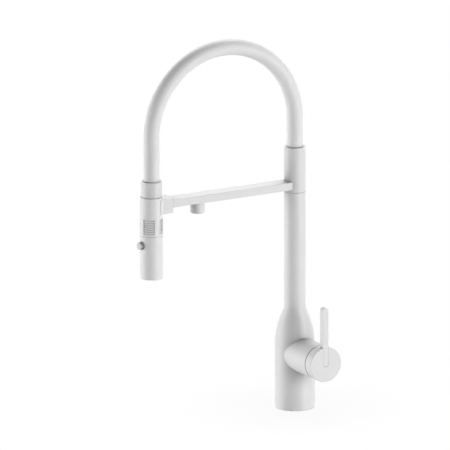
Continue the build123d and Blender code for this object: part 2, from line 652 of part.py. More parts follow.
# Swivel collar, with the hose's socket in its top
with BuildPart() as swivel_collar:
    rod(Plane.XY.offset(collar_bottom), COLLAR_D, COLLAR_H)
    top_rim = swivel_collar.edges().filter_by(GeomType.CIRCLE).sort_by(Axis.Z)[-1]
    fillet(top_rim, COLLAR_EDGE)
    rod(Plane.XY.offset(collar_bottom), 2 * collar_bore_r, web_bottom - collar_bottom, Mode.SUBTRACT)
    rod(Plane.XY.offset(web_bottom), WEB_HOLE_D, WEB_T, Mode.SUBTRACT)
    rod(Plane.XY.offset(web_top), SOCKET_D, collar_top - web_top, Mode.SUBTRACT)
    rod(arm_plane(0, ARM_Z), ARM_STUB_D + 2 * FIT, COLLAR_D, Mode.SUBTRACT)
    screw_way = Plane(origin=(0, 0, ARM_Z + KEEP_OFFSET), x_dir=(1, 0, 0), z_dir=(0, 1, 0))
    rod(screw_way, COLLAR_SCREW_D + 2 * FIT, COLLAR_D, Mode.SUBTRACT)
save(swivel_collar, "swivel_collar")

# Set screw that keeps the collar on the spigot
with BuildPart() as collar_screw:
    tip_y = spigot_r - KEEP_GROOVE_DEPTH + FREE
    screw_foot = Plane(origin=(0, tip_y, ARM_Z + KEEP_OFFSET), x_dir=(1, 0, 0), z_dir=(0, 1, 0))
    screw_l = collar_r - 2 * FREE - tip_y
    rod(screw_foot, COLLAR_SCREW_D, screw_l)
    with BuildSketch(screw_foot.offset(screw_l)):
        RegularPolygon(COLLAR_SCREW_D / 4, 6)
    extrude(amount=-COLLAR_SCREW_D / 2, mode=Mode.SUBTRACT)
save(collar_screw, "collar_screw")

# Bracket arm: a flat bar with the filtered water's channel inside
with BuildPart() as bracket_arm:
    with BuildSketch(arm_plane(0, ARM_Z)):
        RectangleRounded(ARM_W, ARM_H, ARM_EDGE)
    extrude(amount=arm_end)
    rod(Plane.XY.offset(arm_bottom - ARM_H), COLLAR_D + 2 * FIT, 3 * ARM_H, Mode.SUBTRACT)
    rod(arm_plane(collar_bore_r + RUN, ARM_Z), ARM_STUB_D, COLLAR_WALL + ARM_H)
    channel_start = arm_plane(collar_bore_r, ARM_Z)
    rod(channel_start, ARM_CHANNEL_D, NOZZLE_REACH - collar_bore_r, Mode.SUBTRACT)
    nozzle_seat = Plane(origin=(0, -NOZZLE_REACH, arm_bottom))
    rod(nozzle_seat, NOZZLE_THREAD_D, (ARM_H + ARM_CHANNEL_D) / 2 + NOZZLE_HEADROOM, Mode.SUBTRACT)
save(bracket_arm, "bracket_arm")

# Second outlet: nozzle for filtered water under the arm
with BuildPart() as filter_nozzle:
    nozzle_foot = Plane(origin=(0, -NOZZLE_REACH, nozzle_bottom))
    rod(nozzle_foot, NOZZLE_D, NOZZLE_DROP)
    lower_rim = filter_nozzle.edges().filter_by(GeomType.CIRCLE).sort_by(Axis.Z)[0]
    fillet(lower_rim, NOZZLE_EDGE)
    rod(Plane(origin=(0, -NOZZLE_REACH, arm_bottom)), NOZZLE_THREAD_D - 2 * FIT, NOZZLE_THREAD_L)
    rod(nozzle_foot, NOZZLE_WAY_D, NOZZLE_DROP + NOZZLE_THREAD_L, Mode.SUBTRACT)
    rod(nozzle_foot, AERATOR_D + 2 * FIT, AERATOR_INSET + AERATOR_L, Mode.SUBTRACT)
save(filter_nozzle, "filter_nozzle")

# Washer on top of the nozzle's thread
with BuildPart() as nozzle_washer:
    washer_plane = Plane(origin=(0, -NOZZLE_REACH, thread_top))
    ring(washer_plane, NOZZLE_THREAD_D - 2 * FIT, NOZZLE_WAY_D, NOZZLE_WASHER_T)
save(nozzle_washer, "nozzle_washer")

# Mesh insert in the nozzle's mouth
with BuildPart() as nozzle_aerator:
    aerator_foot = Plane(origin=(0, -NOZZLE_REACH, nozzle_bottom + AERATOR_INSET))
    rod(aerator_foot, AERATOR_D, AERATOR_L)
    mesh_holes(aerator_foot, AERATOR_D / 2, AERATOR_L)
save(nozzle_aerator, "nozzle_aerator")

# Dock: a block whose hollow end holds the hand spray
with BuildPart() as dock_block:
    with BuildSketch(handset_plane(dock_bottom)):
        Circle(DOCK_OUTER_R)
        Circle(saddle_r, mode=Mode.SUBTRACT)
        Rectangle(DOCK_W, 2 * DOCK_OUTER_R, align=(Align.CENTER, Align.MIN), mode=Mode.INTERSECT)
    extrude(amount=DOCK_H)
    uprights = dock_block.edges().filter_by(Axis.Z).sort_by(Axis.Y)[-2:]
    fillet(uprights, DOCK_EDGE)
    with BuildSketch(arm_plane(0, ARM_Z)):
        RectangleRounded(ARM_W + 2 * FIT, ARM_H + 2 * FIT, ARM_EDGE)
    extrude(amount=arm_end + FIT, mode=Mode.SUBTRACT)
    magnet_way = arm_plane(REACH - saddle_r - MAGNET_T - FIT, (dock_bottom + DOCK_TOP) / 2)
    rod(magnet_way, MAGNET_D + 2 * FIT, DOCK_OUTER_R, Mode.SUBTRACT)
    screw_way = Plane(origin=(0, -arm_end + DOCK_TENON / 2, dock_bottom))
    rod(screw_way, DOCK_SCREW_D + 2 * FIT, arm_bottom - dock_bottom, Mode.SUBTRACT)
save(dock_block, "dock_block")

# Plastic pad in the dock's hollow, with thin wings that reach round the hand spray past the block
with BuildPart() as dock_pad:
    with BuildSketch(handset_plane(dock_bottom)):
        Circle(saddle_r - FIT)
        Circle(pad_r, mode=Mode.SUBTRACT)
        Rectangle(DOCK_W, 2 * DOCK_OUTER_R, align=(Align.CENTER, Align.MIN), mode=Mode.INTERSECT)
    with BuildSketch(handset_plane(dock_bottom)):
        wrap_x = DOCK_OUTER_R * sin(radians(WING_WRAP))
        wrap_y = DOCK_OUTER_R * cos(radians(WING_WRAP))
        Circle(pad_r + WING_T)
        Circle(pad_r, mode=Mode.SUBTRACT)
        Polygon((0, 0), (wrap_x, wrap_y), (wrap_x, DOCK_OUTER_R), (-wrap_x, DOCK_OUTER_R), (-wrap_x, wrap_y),
                align=None, mode=Mode.INTERSECT)
    extrude(amount=DOCK_H)
save(dock_pad, "dock_pad")

# Magnet behind the pad, its face hollowed to the pad's back
with BuildPart() as dock_magnet:
    magnet_foot = arm_plane(REACH - saddle_r - MAGNET_T, (dock_bottom + DOCK_TOP) / 2)
    rod(magnet_foot, MAGNET_D, DOCK_OUTER_R)
    rod(handset_plane(dock_bottom), 2 * saddle_r, DOCK_H, Mode.SUBTRACT)
    with Locations(handset_plane(dock_bottom)):
        Box(DOCK_W, 2 * DOCK_OUTER_R, DOCK_H, align=(Align.CENTER, Align.MAX, Align.MIN), mode=Mode.SUBTRACT)
save(dock_magnet, "dock_magnet")

# Set screw that fixes the dock on the arm
with BuildPart() as dock_screw:
    screw_foot = Plane(origin=(0, -arm_end + DOCK_TENON / 2, dock_bottom + FREE))
    rod(screw_foot, DOCK_SCREW_D, arm_bottom - dock_bottom - FREE - FIT)
    with BuildSketch(screw_foot):
        RegularPolygon(DOCK_SCREW_D / 4, 6)
    extrude(amount=DOCK_SCREW_D / 2, mode=Mode.SUBTRACT)
save(dock_screw, "dock_screw")

# Nipple that joins the hose to the collar
with BuildPart() as collar_nipple:
    rod(Plane.XY.offset(web_bottom), WEB_HOLE_D - 2 * FIT, WEB_T)
    rod(Plane.XY.offset(web_top), NIPPLE_FLANGE_D, NIPPLE_FLANGE_T)
    rod(Plane.XY.offset(hose_start), 2 * tail_r, NIPPLE_TAIL)
    rod(Plane.XY.offset(web_bottom), 2 * (tail_r - NIPPLE_WALL),
        hose_start + NIPPLE_TAIL - web_bottom, Mode.SUBTRACT)
save(collar_nipple, "collar_nipple")

# Hose: straight out of the collar, over in a half circle and straight into the ferrule
with BuildPart() as spout_hose:
    with BuildLine(Plane.YZ) as hose_line:
        Line((0, hose_start), (0, ARCH_Z))
        ThreePointArc((0, ARCH_Z), (-arch_r, ARCH_Z + arch_r), (-REACH, ARCH_Z))
        Line((-REACH, ARCH_Z), (-REACH, hose_end))
    with BuildSketch(Plane.XY.offset(hose_start)):
        Circle(hose_r)
        Circle(hose_r - HOSE_WALL, mode=Mode.SUBTRACT)
    sweep(path=hose_line.line)
save(spout_hose, "spout_hose")

# Water tube inside the hose's cover
with BuildPart() as inner_hose:
    with BuildLine(Plane.YZ) as inner_line:
        Line((0, hose_start), (0, ARCH_Z))
        ThreePointArc((0, ARCH_Z), (-arch_r, ARCH_Z + arch_r), (-REACH, ARCH_Z))
        Line((-REACH, ARCH_Z), (-REACH, hose_end))
    with BuildSketch(Plane.XY.offset(hose_start)):
        Circle(inner_hose_r)
        Circle(inner_hose_r - INNER_HOSE_WALL, mode=Mode.SUBTRACT)
    sweep(path=inner_line.line)
save(inner_hose, "inner_hose")

# Ferrule on the hose's far end
with BuildPart() as hose_ferrule:
    rod(handset_plane(FERRULE_BOTTOM), FERRULE_D, FERRULE_H)
    top_rim = hose_ferrule.edges().filter_by(GeomType.CIRCLE).sort_by(Axis.Z)[-1]
    fillet(top_rim, COLLAR_EDGE)
    rod(handset_plane(FERRULE_BOTTOM), STUB_D + 2 * FIT, FERRULE_WEB, Mode.SUBTRACT)
    rod(handset_plane(FERRULE_BOTTOM + FERRULE_WEB), SOCKET_D, FERRULE_H, Mode.SUBTRACT)
save(hose_ferrule, "hose_ferrule")

# Rubber grommets that fill the mouths of the collar and the ferrule round the hose
with BuildPart() as collar_grommet:
    grommet_z = collar_top + GROMMET_PROUD - GROMMET_H
    ring(Plane.XY.offset(grommet_z), SOCKET_D - 2 * FIT, HOSE_D + 2 * FIT, GROMMET_H)
save(collar_grommet, "collar_grommet")
with BuildPart() as ferrule_grommet:
    grommet_z = FERRULE_BOTTOM + FERRULE_H + GROMMET_PROUD - GROMMET_H
    ring(handset_plane(grommet_z), SOCKET_D - 2 * FIT, HOSE_D + 2 * FIT, GROMMET_H)
save(ferrule_grommet, "ferrule_grommet")

# Nipple in the ferrule, whose stub the hand spray turns on
with BuildPart() as spray_nipple:
    rod(handset_plane(stub_end), STUB_D, FERRULE_BOTTOM + FERRULE_WEB - stub_end)
    rod(handset_plane(FERRULE_BOTTOM + FERRULE_WEB), NIPPLE_FLANGE_D, NIPPLE_FLANGE_T)
    rod(handset_plane(hose_end), 2 * tail_r, NIPPLE_TAIL)
    ring(handset_plane(clip_z), CLIP_D, STUB_D - 2 * CLIP_GROOVE_DEPTH, CLIP_T, Mode.SUBTRACT)
    stub_groove_z = FERRULE_BOTTOM - STUB_SEAL_DROP - STUB_SEAL_SECTION * 0.65
    stub_floor = STUB_D + 2 * RUN - 2 * SEAL_GAP - 2 * STUB_SEAL_SECTION - 2 * FIT
    ring(handset_plane(stub_groove_z), CLIP_D, stub_floor, STUB_SEAL_SECTION * 1.3, Mode.SUBTRACT)
    rod(handset_plane(stub_end), 2 * (tail_r - NIPPLE_WALL),
        hose_end + NIPPLE_TAIL - stub_end, Mode.SUBTRACT)
save(spray_nipple, "spray_nipple")

# Rubber ring on the stub
with BuildPart() as stub_seal:
    with Locations((0, -REACH, FERRULE_BOTTOM - STUB_SEAL_DROP)):
        Torus(STUB_D / 2 + RUN - SEAL_GAP - STUB_SEAL_SECTION / 2, STUB_SEAL_SECTION / 2)
save(stub_seal, "stub_seal")

# Clip on the stub that keeps the hand spray on the hose
with BuildPart() as stub_clip:
    ring(handset_plane(clip_z + FIT), CLIP_D, STUB_D - 2 * CLIP_GROOVE_DEPTH + 2 * FIT, CLIP_T - 2 * FIT)
    with Locations((0, -REACH, clip_z)):
        Box(STUB_D / 3, CLIP_D, CLIP_T, align=(Align.CENTER, Align.MAX, Align.MIN), mode=Mode.SUBTRACT)
save(stub_clip, "stub_clip")

# Upper shell of the hand spray, with its patches of grip grooves
with BuildPart() as handset_grip:
    rod(handset_plane(SEAM_Z + SEAM_GAP / 2), HANDSET_D, grip_top - SEAM_Z - SEAM_GAP / 2)
    top_rim = handset_grip.edges().filter_by(GeomType.CIRCLE).sort_by(Axis.Z)[-1]
    fillet(top_rim, COLLAR_EDGE)
    rod(handset_plane(SEAM_Z - TONGUE_L), 2 * tongue_r, TONGUE_L + SEAM_GAP)
    rod(handset_plane(SEAM_Z - TONGUE_L), 2 * grip_bore_r,
        grip_top - GRIP_TOP_T - SEAM_Z + TONGUE_L, Mode.SUBTRACT)
    rod(handset_plane(SEAM_Z), STUB_D + 2 * FREE, grip_top - SEAM_Z, Mode.SUBTRACT)
    groove_floor = handset_r - GROOVE_DEPTH
    half_chord = HANDSET_D * sin(radians(GROOVE_HALF_ANGLE))
    near = HANDSET_D * cos(radians(GROOVE_HALF_ANGLE))
    for patch in range(GRIP_PATCHES):
        for row in range(GROOVES):
            groove_z = grip_centre_z + (row - (GROOVES - 1) / 2) * GROOVE_PITCH
            with BuildSketch(handset_plane(groove_z - GROOVE_W / 2)):
                Circle(HANDSET_D)
                Circle(groove_floor, mode=Mode.SUBTRACT)
                turn = 45 + patch * 360 / GRIP_PATCHES
                with Locations(Location((0, 0), turn)):
                    Polygon((0, 0), (near, -half_chord), (2 * near, 0), (near, half_chord),
                            align=None, mode=Mode.INTERSECT)
            extrude(amount=GROOVE_W, mode=Mode.SUBTRACT)
save(handset_grip, "handset_grip")

# Lower shell of the hand spray
with BuildPart() as spray_head:
    rod(handset_plane(HANDSET_BOTTOM), HANDSET_D, SEAM_Z - SEAM_GAP / 2 - HANDSET_BOTTOM)
    lower_rim = spray_head.edges().filter_by(GeomType.CIRCLE).sort_by(Axis.Z)[0]
    fillet(lower_rim, HANDSET_EDGE)
    rod(handset_plane(HANDSET_BOTTOM), 2 * grip_bore_r, SEAM_Z - HANDSET_BOTTOM, Mode.SUBTRACT)
    rod(handset_plane(SEAM_Z - TONGUE_L - FIT), 2 * (tongue_r + FIT), 2 * TONGUE_L, Mode.SUBTRACT)
    rod(button_plane(0), BUTTON_D + 2 * FREE, HANDSET_D, Mode.SUBTRACT)
save(spray_head, "spray_head")

# Water core inside both shells
with BuildPart() as water_core:
    rod(handset_plane(core_bottom), 2 * core_r, core_top - core_bottom)
    rod(handset_plane(chamber_top), STUB_D + 2 * RUN, core_top - chamber_top, Mode.SUBTRACT)
    rod(handset_plane(valve_bottom), CORE_CHAMBER_D, chamber_top - valve_bottom, Mode.SUBTRACT)
    rod(handset_plane(core_bottom), CORE_WAY_D, valve_bottom - core_bottom, Mode.SUBTRACT)
    rod(handset_plane(core_bottom), SPRAY_CHAMBER_D, SPRAY_CHAMBER_H, Mode.SUBTRACT)
    rod(button_plane(pocket_floor), BUTTON_D + 2 * FREE, HANDSET_D, Mode.SUBTRACT)
    rod(button_plane(spring_floor), SPOOL_D + 2 * RUN, pocket_floor - spring_floor, Mode.SUBTRACT)
    keeper_y = core_r - KEEPER_INSET
    with Locations((0, -REACH + keeper_y + FIT, (dock_bottom + DOCK_TOP) / 2)):
        Box(KEEPER_W + 2 * FIT, KEEPER_T + 2 * FIT + KEEPER_INSET, KEEPER_H + 2 * FIT,
            align=(Align.CENTER, Align.CENTER, Align.CENTER), mode=Mode.SUBTRACT)
save(water_core, "water_core")

# Steel keeper that the dock's magnet holds
with BuildPart() as dock_keeper:
    with Locations((0, -REACH + core_r - KEEPER_INSET - KEEPER_INSET / 2, (dock_bottom + DOCK_TOP) / 2)):
        Box(KEEPER_W, KEEPER_T, KEEPER_H)
save(dock_keeper, "dock_keeper")

# Non-return valve in the core's inlet
with BuildPart() as check_valve:
    rod(handset_plane(valve_bottom), CORE_CHAMBER_D - 2 * FIT, VALVE_L)
    rod(handset_plane(valve_bottom), CORE_WAY_D, VALVE_L, Mode.SUBTRACT)
    rod(handset_plane(valve_bottom + VALVE_L / 2), CORE_WAY_D, VALVE_L / 5)
save(check_valve, "check_valve")

# Face plate that closes the spray's mouth
with BuildPart() as spray_plate:
    rod(handset_plane(plate_bottom), 2 * (grip_bore_r - FIT), PLATE_T)
    rod(handset_plane(plate_bottom), JET_D + 2 * FIT, PLATE_T, Mode.SUBTRACT)
    with Locations(handset_plane(plate_bottom)):
        with PolarLocations(SPRAY_RING_D / 2, SPRAY_HOLES):
            Cylinder(SPRAY_HOLE_D / 2 + FIT, PLATE_T, align=from_bottom, mode=Mode.SUBTRACT)
save(spray_plate, "spray_plate")

# Ring of rubber spray tips in the plate
with BuildPart() as spray_tips:
    tip_plane = handset_plane(plate_bottom - SPRAY_PROUD)
    with Locations(tip_plane):
        with PolarLocations(SPRAY_RING_D / 2, SPRAY_HOLES):
            Cylinder(SPRAY_HOLE_D / 2, PLATE_T + SPRAY_PROUD, align=from_bottom)
            Cylinder(SPRAY_HOLE_D / 4, PLATE_T + SPRAY_PROUD, align=from_bottom, mode=Mode.SUBTRACT)
save(spray_tips, "spray_tips")

# Mesh insert for the plain jet in the middle
with BuildPart() as jet_aerator:
    jet_foot = handset_plane(plate_bottom + JET_INSET)
    rod(jet_foot, JET_D, PLATE_T - JET_INSET)
    mesh_holes(jet_foot, JET_D / 2, PLATE_T - JET_INSET)
save(jet_aerator, "jet_aerator")

# Push button that changes spray and jet over: a cap on a stem
with BuildPart() as spray_button:
    rod(button_plane(button_face - BUTTON_CAP_T), BUTTON_D, BUTTON_CAP_T)
    face_rim = spray_button.edges().filter_by(GeomType.CIRCLE).sort_by(Axis.Y)[0]
    fillet(face_rim, BUTTON_EDGE)
    rod(button_plane(button_back), BUTTON_STEM_D, BUTTON_L - BUTTON_CAP_T)
save(spray_button, "spray_button")

# Rubber sleeve round the button's stem, which keeps water and dirt out of its pocket
with BuildPart() as button_sleeve:
    sleeve_l = BUTTON_L - BUTTON_CAP_T - FIT
    ring(button_plane(button_back), BUTTON_SLEEVE_D, BUTTON_STEM_D + 2 * FIT, sleeve_l)
save(button_sleeve, "button_sleeve")

# Spool on the button's back
with BuildPart() as diverter_spool:
    rod(button_plane(spool_end), SPOOL_D, SPOOL_L)
    waist = button_plane(spool_end + SPOOL_WAIST_L / 2)
    ring(waist, 2 * SPOOL_D, SPOOL_WAIST_D, SPOOL_WAIST_L, Mode.SUBTRACT)
save(diverter_spool, "diverter_spool")

# Spring behind the spool
button_spring_h = BUTTON_SPRING_L - 2 * FIT - BUTTON_SPRING_WIRE
button_spring_y = -REACH - spring_floor - FIT - BUTTON_SPRING_WIRE / 2
with BuildPart() as button_spring:
    with BuildLine() as button_coil:
        Helix(button_spring_h / BUTTON_SPRING_TURNS, button_spring_h, SPOOL_D / 2 - BUTTON_SPRING_WIRE,
              center=(0, button_spring_y, button_z), direction=(0, -1, 0))
    with BuildSketch(Plane(origin=button_coil.line @ 0, z_dir=button_coil.line % 0)):
        Circle(BUTTON_SPRING_WIRE / 2)
    sweep(path=button_coil.line, is_frenet=True)
save(button_spring, "button_spring")
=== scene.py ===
"""Kitchen mixer tap: finishes, hose, springs, spray tips and a studio around the packed frame."""

import json
import math

import bpy
from bpy.props import FloatProperty, FloatVectorProperty, IntProperty, PointerProperty
from mathutils import Matrix, Vector

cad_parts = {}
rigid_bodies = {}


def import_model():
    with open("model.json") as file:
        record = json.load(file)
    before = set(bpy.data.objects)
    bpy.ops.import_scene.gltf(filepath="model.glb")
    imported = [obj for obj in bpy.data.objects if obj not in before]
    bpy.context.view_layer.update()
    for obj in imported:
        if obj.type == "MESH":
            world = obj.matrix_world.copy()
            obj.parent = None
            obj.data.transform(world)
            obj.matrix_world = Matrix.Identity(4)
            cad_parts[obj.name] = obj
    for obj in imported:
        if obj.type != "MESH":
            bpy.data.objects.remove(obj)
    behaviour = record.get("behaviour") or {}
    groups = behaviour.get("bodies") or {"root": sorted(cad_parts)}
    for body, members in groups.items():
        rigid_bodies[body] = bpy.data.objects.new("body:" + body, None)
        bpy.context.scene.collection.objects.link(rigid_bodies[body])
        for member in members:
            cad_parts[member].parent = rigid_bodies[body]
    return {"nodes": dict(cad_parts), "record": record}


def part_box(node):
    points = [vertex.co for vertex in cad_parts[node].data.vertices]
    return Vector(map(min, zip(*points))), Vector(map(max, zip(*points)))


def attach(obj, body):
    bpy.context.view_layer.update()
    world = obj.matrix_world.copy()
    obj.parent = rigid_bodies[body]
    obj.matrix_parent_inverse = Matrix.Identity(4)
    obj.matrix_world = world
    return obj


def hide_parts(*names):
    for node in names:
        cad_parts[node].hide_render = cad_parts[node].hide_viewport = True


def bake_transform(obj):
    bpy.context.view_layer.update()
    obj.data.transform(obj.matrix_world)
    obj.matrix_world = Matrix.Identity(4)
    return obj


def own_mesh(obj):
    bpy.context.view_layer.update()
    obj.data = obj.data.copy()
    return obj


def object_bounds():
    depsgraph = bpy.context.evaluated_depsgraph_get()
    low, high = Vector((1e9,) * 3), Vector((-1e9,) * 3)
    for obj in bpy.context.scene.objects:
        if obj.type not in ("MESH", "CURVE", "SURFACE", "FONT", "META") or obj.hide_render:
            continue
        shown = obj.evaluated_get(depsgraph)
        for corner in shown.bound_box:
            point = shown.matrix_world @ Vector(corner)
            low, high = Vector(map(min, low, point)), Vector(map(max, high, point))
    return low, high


bl_info = {
    "name": "Kitchen Mixer Tap",
    "version": (1, 0, 0),
    "blender": (4, 5, 0),
    "location": "3D View > Sidebar > Tap",
    "description": "Finishes, hose and small parts of a kitchen mixer tap, and its studio",
    "category": "Object",
}

for leftover in list(bpy.data.objects):
    bpy.data.objects.remove(leftover)
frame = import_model()
cad_low, cad_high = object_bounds()

MM = 0.001
WHITE = (1.0, 1.0, 1.0, 1.0)
SLOT_OF = {row["node"]: row["material_slot"] for row in frame["record"]["subparts"]}
OUTSIDE_SLOTS = ("white_paint", "white_plastic")
HOSE_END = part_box("spout_hose")[0].z
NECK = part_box("base_body")[1].z

# Finishes: the heights between which the painted corner shade fades in above the floor, and how far
# the paint's normals at the neck lean up on the riser and down on the shoulder
CORNER_SHADE_FROM, CORNER_SHADE_FULL = 15.0 * MM, 50.0 * MM
RISER_LEAN, SHOULDER_LEAN = 0.18, -0.32

# Shapes: the sharpest edge that is shaded smooth, how far the springs give, the points in a coil's
# turn, and the sides of a wire and of a tip
SMOOTH_ANGLE = math.radians(40.0)
SPRING_TRAVEL = {"valve_spring": 1.58 * MM, "push_spring": 2.5 * MM}
COIL_POINTS, WIRE_SIDES, TIP_SIDES = 36, 12, 20

# Stage: distances in metres, how dark and how soft the shadow is, and for each lamp its degrees
# aside from the camera, its degrees above level, its width and its height
CAMERA_DISTANCE, LAMP_DISTANCE = 2.0, 5.0
FLOOR_HALF, FLOOR_HEIGHT = 12.0, -0.1 * MM
SHADOW_DEPTH, SHADOW_SOFTNESS = 0.08, 0.3
LAMPS = {
    "left_lamp": (-92.0, -2.0, 5.0, 4.0),
    "right_lamp": (58.0, 5.0, 4.6, 2.8),
    "back_lamp": (180.0, 45.0, 3.8, 2.8),
}


class Socket:
    """A node's output. Arithmetic with it adds Math nodes to its graph."""

    def __init__(self, graph, socket):
        self.graph = graph
        self.socket = socket

    def also(self, name):
        """Another output of the same node."""
        return Socket(self.graph, self.socket.node.outputs[name])

    def __add__(self, other):
        return self.graph.math("ADD", self, other)

    def __radd__(self, other):
        return self.graph.math("ADD", other, self)

    def __sub__(self, other):
        return self.graph.math("SUBTRACT", self, other)

    def __rsub__(self, other):
        return self.graph.math("SUBTRACT", other, self)

    def __mul__(self, other):
        return self.graph.math("MULTIPLY", self, other)

    def __rmul__(self, other):
        return self.graph.math("MULTIPLY", other, self)

    def __truediv__(self, other):
        return self.graph.math("DIVIDE", self, other)

    def __rtruediv__(self, other):
        return self.graph.math("DIVIDE", other, self)


class Graph:
    """A node tree that is being wired."""

    def __init__(self, tree):
        self.tree = tree

    def node(self, kind, settings=None, sockets=None, output=0):
        """Adds a node: its settings, then its sockets' values or links. Gives one output."""
        node = self.tree.nodes.new(kind)
        for key, value in (settings or {}).items():
            if key == "stops":
                self.set_stops(node.color_ramp, value)
            else:
                setattr(node, key, value)
        for key, value in (sockets or {}).items():
            target = node.inputs[key]
            if isinstance(value, Socket):
                self.tree.links.new(value.socket, target)
            else:
                target.default_value = value
        return Socket(self, node.outputs[output]) if node.outputs else None

    @staticmethod
    def set_stops(ramp, stops):
        """Puts a colour ramp's stops, (position, grey) each, in order."""
        while len(ramp.elements) < len(stops):
            ramp.elements.new(1.0)
        for element, (position, grey) in zip(ramp.elements, stops):
            element.position = position
            element.color = (grey, grey, grey, 1.0)

    def math(self, operation, *values):
        """One Math node on up to three values."""
        sockets = dict(enumerate(values))
        return self.node("ShaderNodeMath", {"operation": operation}, sockets)

    def seen(self):
        """1 on rays from the camera, a reflection or glass, and 0 on rays that carry light."""
        ray = self.node("ShaderNodeLightPath", output="Is Camera Ray")
        shown = self.math("MAXIMUM", ray, ray.also("Is Glossy Ray"))
        return self.math("MAXIMUM", shown, ray.also("Is Transmission Ray"))


class Finish(Graph):
    """A material under way, with one Principled shader."""

    def __init__(self, name, constants):
        self.material = bpy.data.materials.new(name)
        self.material.use_nodes = True
        super().__init__(self.material.node_tree)
        self.tree.nodes.clear()
        self.shader = self.tree.nodes.new("ShaderNodeBsdfPrincipled")
        surface = self.tree.nodes.new("ShaderNodeOutputMaterial").inputs["Surface"]
        self.tree.links.new(self.shader.outputs["BSDF"], surface)
        for key, value in constants.items():
            self.shader.inputs[key].default_value = value
        self.place = self.node("ShaderNodeTexCoord", output="Object")

    def stretched(self, scale):
        """Object coordinates scaled apart on each axis."""
        return self.node("ShaderNodeMapping", None, {"Vector": self.place, "Scale": scale})

    def noise(self, scale, detail=2.0, place=None):
        """Cloudy noise, about 0 to 1, with features of about a metre over scale."""
        sockets = {"Vector": place or self.place, "Scale": scale, "Detail": detail}
        return self.node("ShaderNodeTexNoise", None, sockets)

    def cells(self, scale):
        """Distance to the nearest of scattered points, for pebbled and cast surfaces."""
        return self.node("ShaderNodeTexVoronoi", None, {"Vector": self.place, "Scale": scale})

    def ramp(self, value, stops):
        """A value through a grey ramp."""
        return self.node("ShaderNodeValToRGB", {"stops": stops}, {"Fac": value})

    def mix(self, share, first, second):
        """A colour between two, by share."""
        sockets = {0: share, 6: first, 7: second}
        return self.node("ShaderNodeMix", {"data_type": "RGBA"}, sockets, 2)

    def tones(self, share, colour, low, high):
        """A colour that goes from one brightness of itself to another, by share."""
        return self.mix(share, shade(colour, low), shade(colour, high))

    def filmed(self, unshaded, colour, shade_depth, reach):
        """A colour darkened by painted shade where a point is closed in, in corners and grooves; it
        fades out near the floor.
        """
        sockets = {"Distance": reach}
        # Painted shade: how closed in each point is darkens its colour
        openness = self.node("ShaderNodeAmbientOcclusion", {"samples": 8}, sockets, "AO")
        off_floor = self.rising(CORNER_SHADE_FROM, CORNER_SHADE_FULL)
        return self.mix((1.0 - openness) * off_floor, unshaded, shade(colour, 1.0 - shade_depth))

    def height(self):
        """Height above the worktop."""
        return self.node("ShaderNodeSeparateXYZ", None, {"Vector": self.place}, "Z")

    def rising(self, start, end, most=1.0):
        """A value that goes smoothly from 0 at one height to its most at another."""
        sockets = {"Value": self.height(), "From Min": start, "From Max": end, "To Max": most}
        return self.node("ShaderNodeMapRange", {"interpolation_type": "SMOOTHSTEP"}, sockets)

    def soft_normal(self, edge):
        """The surface's normal, with edges softened by a radius."""
        return self.node("ShaderNodeBevel", {"samples": 4}, {"Radius": edge})

    def leaning(self, normal, lean):
        """A normal that leans up, or down where lean is below 0."""
        up = self.node("ShaderNodeCombineXYZ", None, {"Z": lean})
        leant = self.node("ShaderNodeVectorMath", {"operation": "ADD"}, {0: normal, 1: up})
        return self.node("ShaderNodeVectorMath", {"operation": "NORMALIZE"}, {0: leant})

    def relief(self, height, depth, normal=None):
        """Bump of that depth in metres, on the surface or on a softened normal."""
        sockets = {"Height": height, "Strength": 1.0, "Distance": depth}
        if normal:
            sockets["Normal"] = normal
        self.feed("Normal", self.node("ShaderNodeBump", None, sockets))

    def feed(self, name, value):
        """Links a value or colour to one of the shader's sockets."""
        self.tree.links.new(value.socket, self.shader.inputs[name])


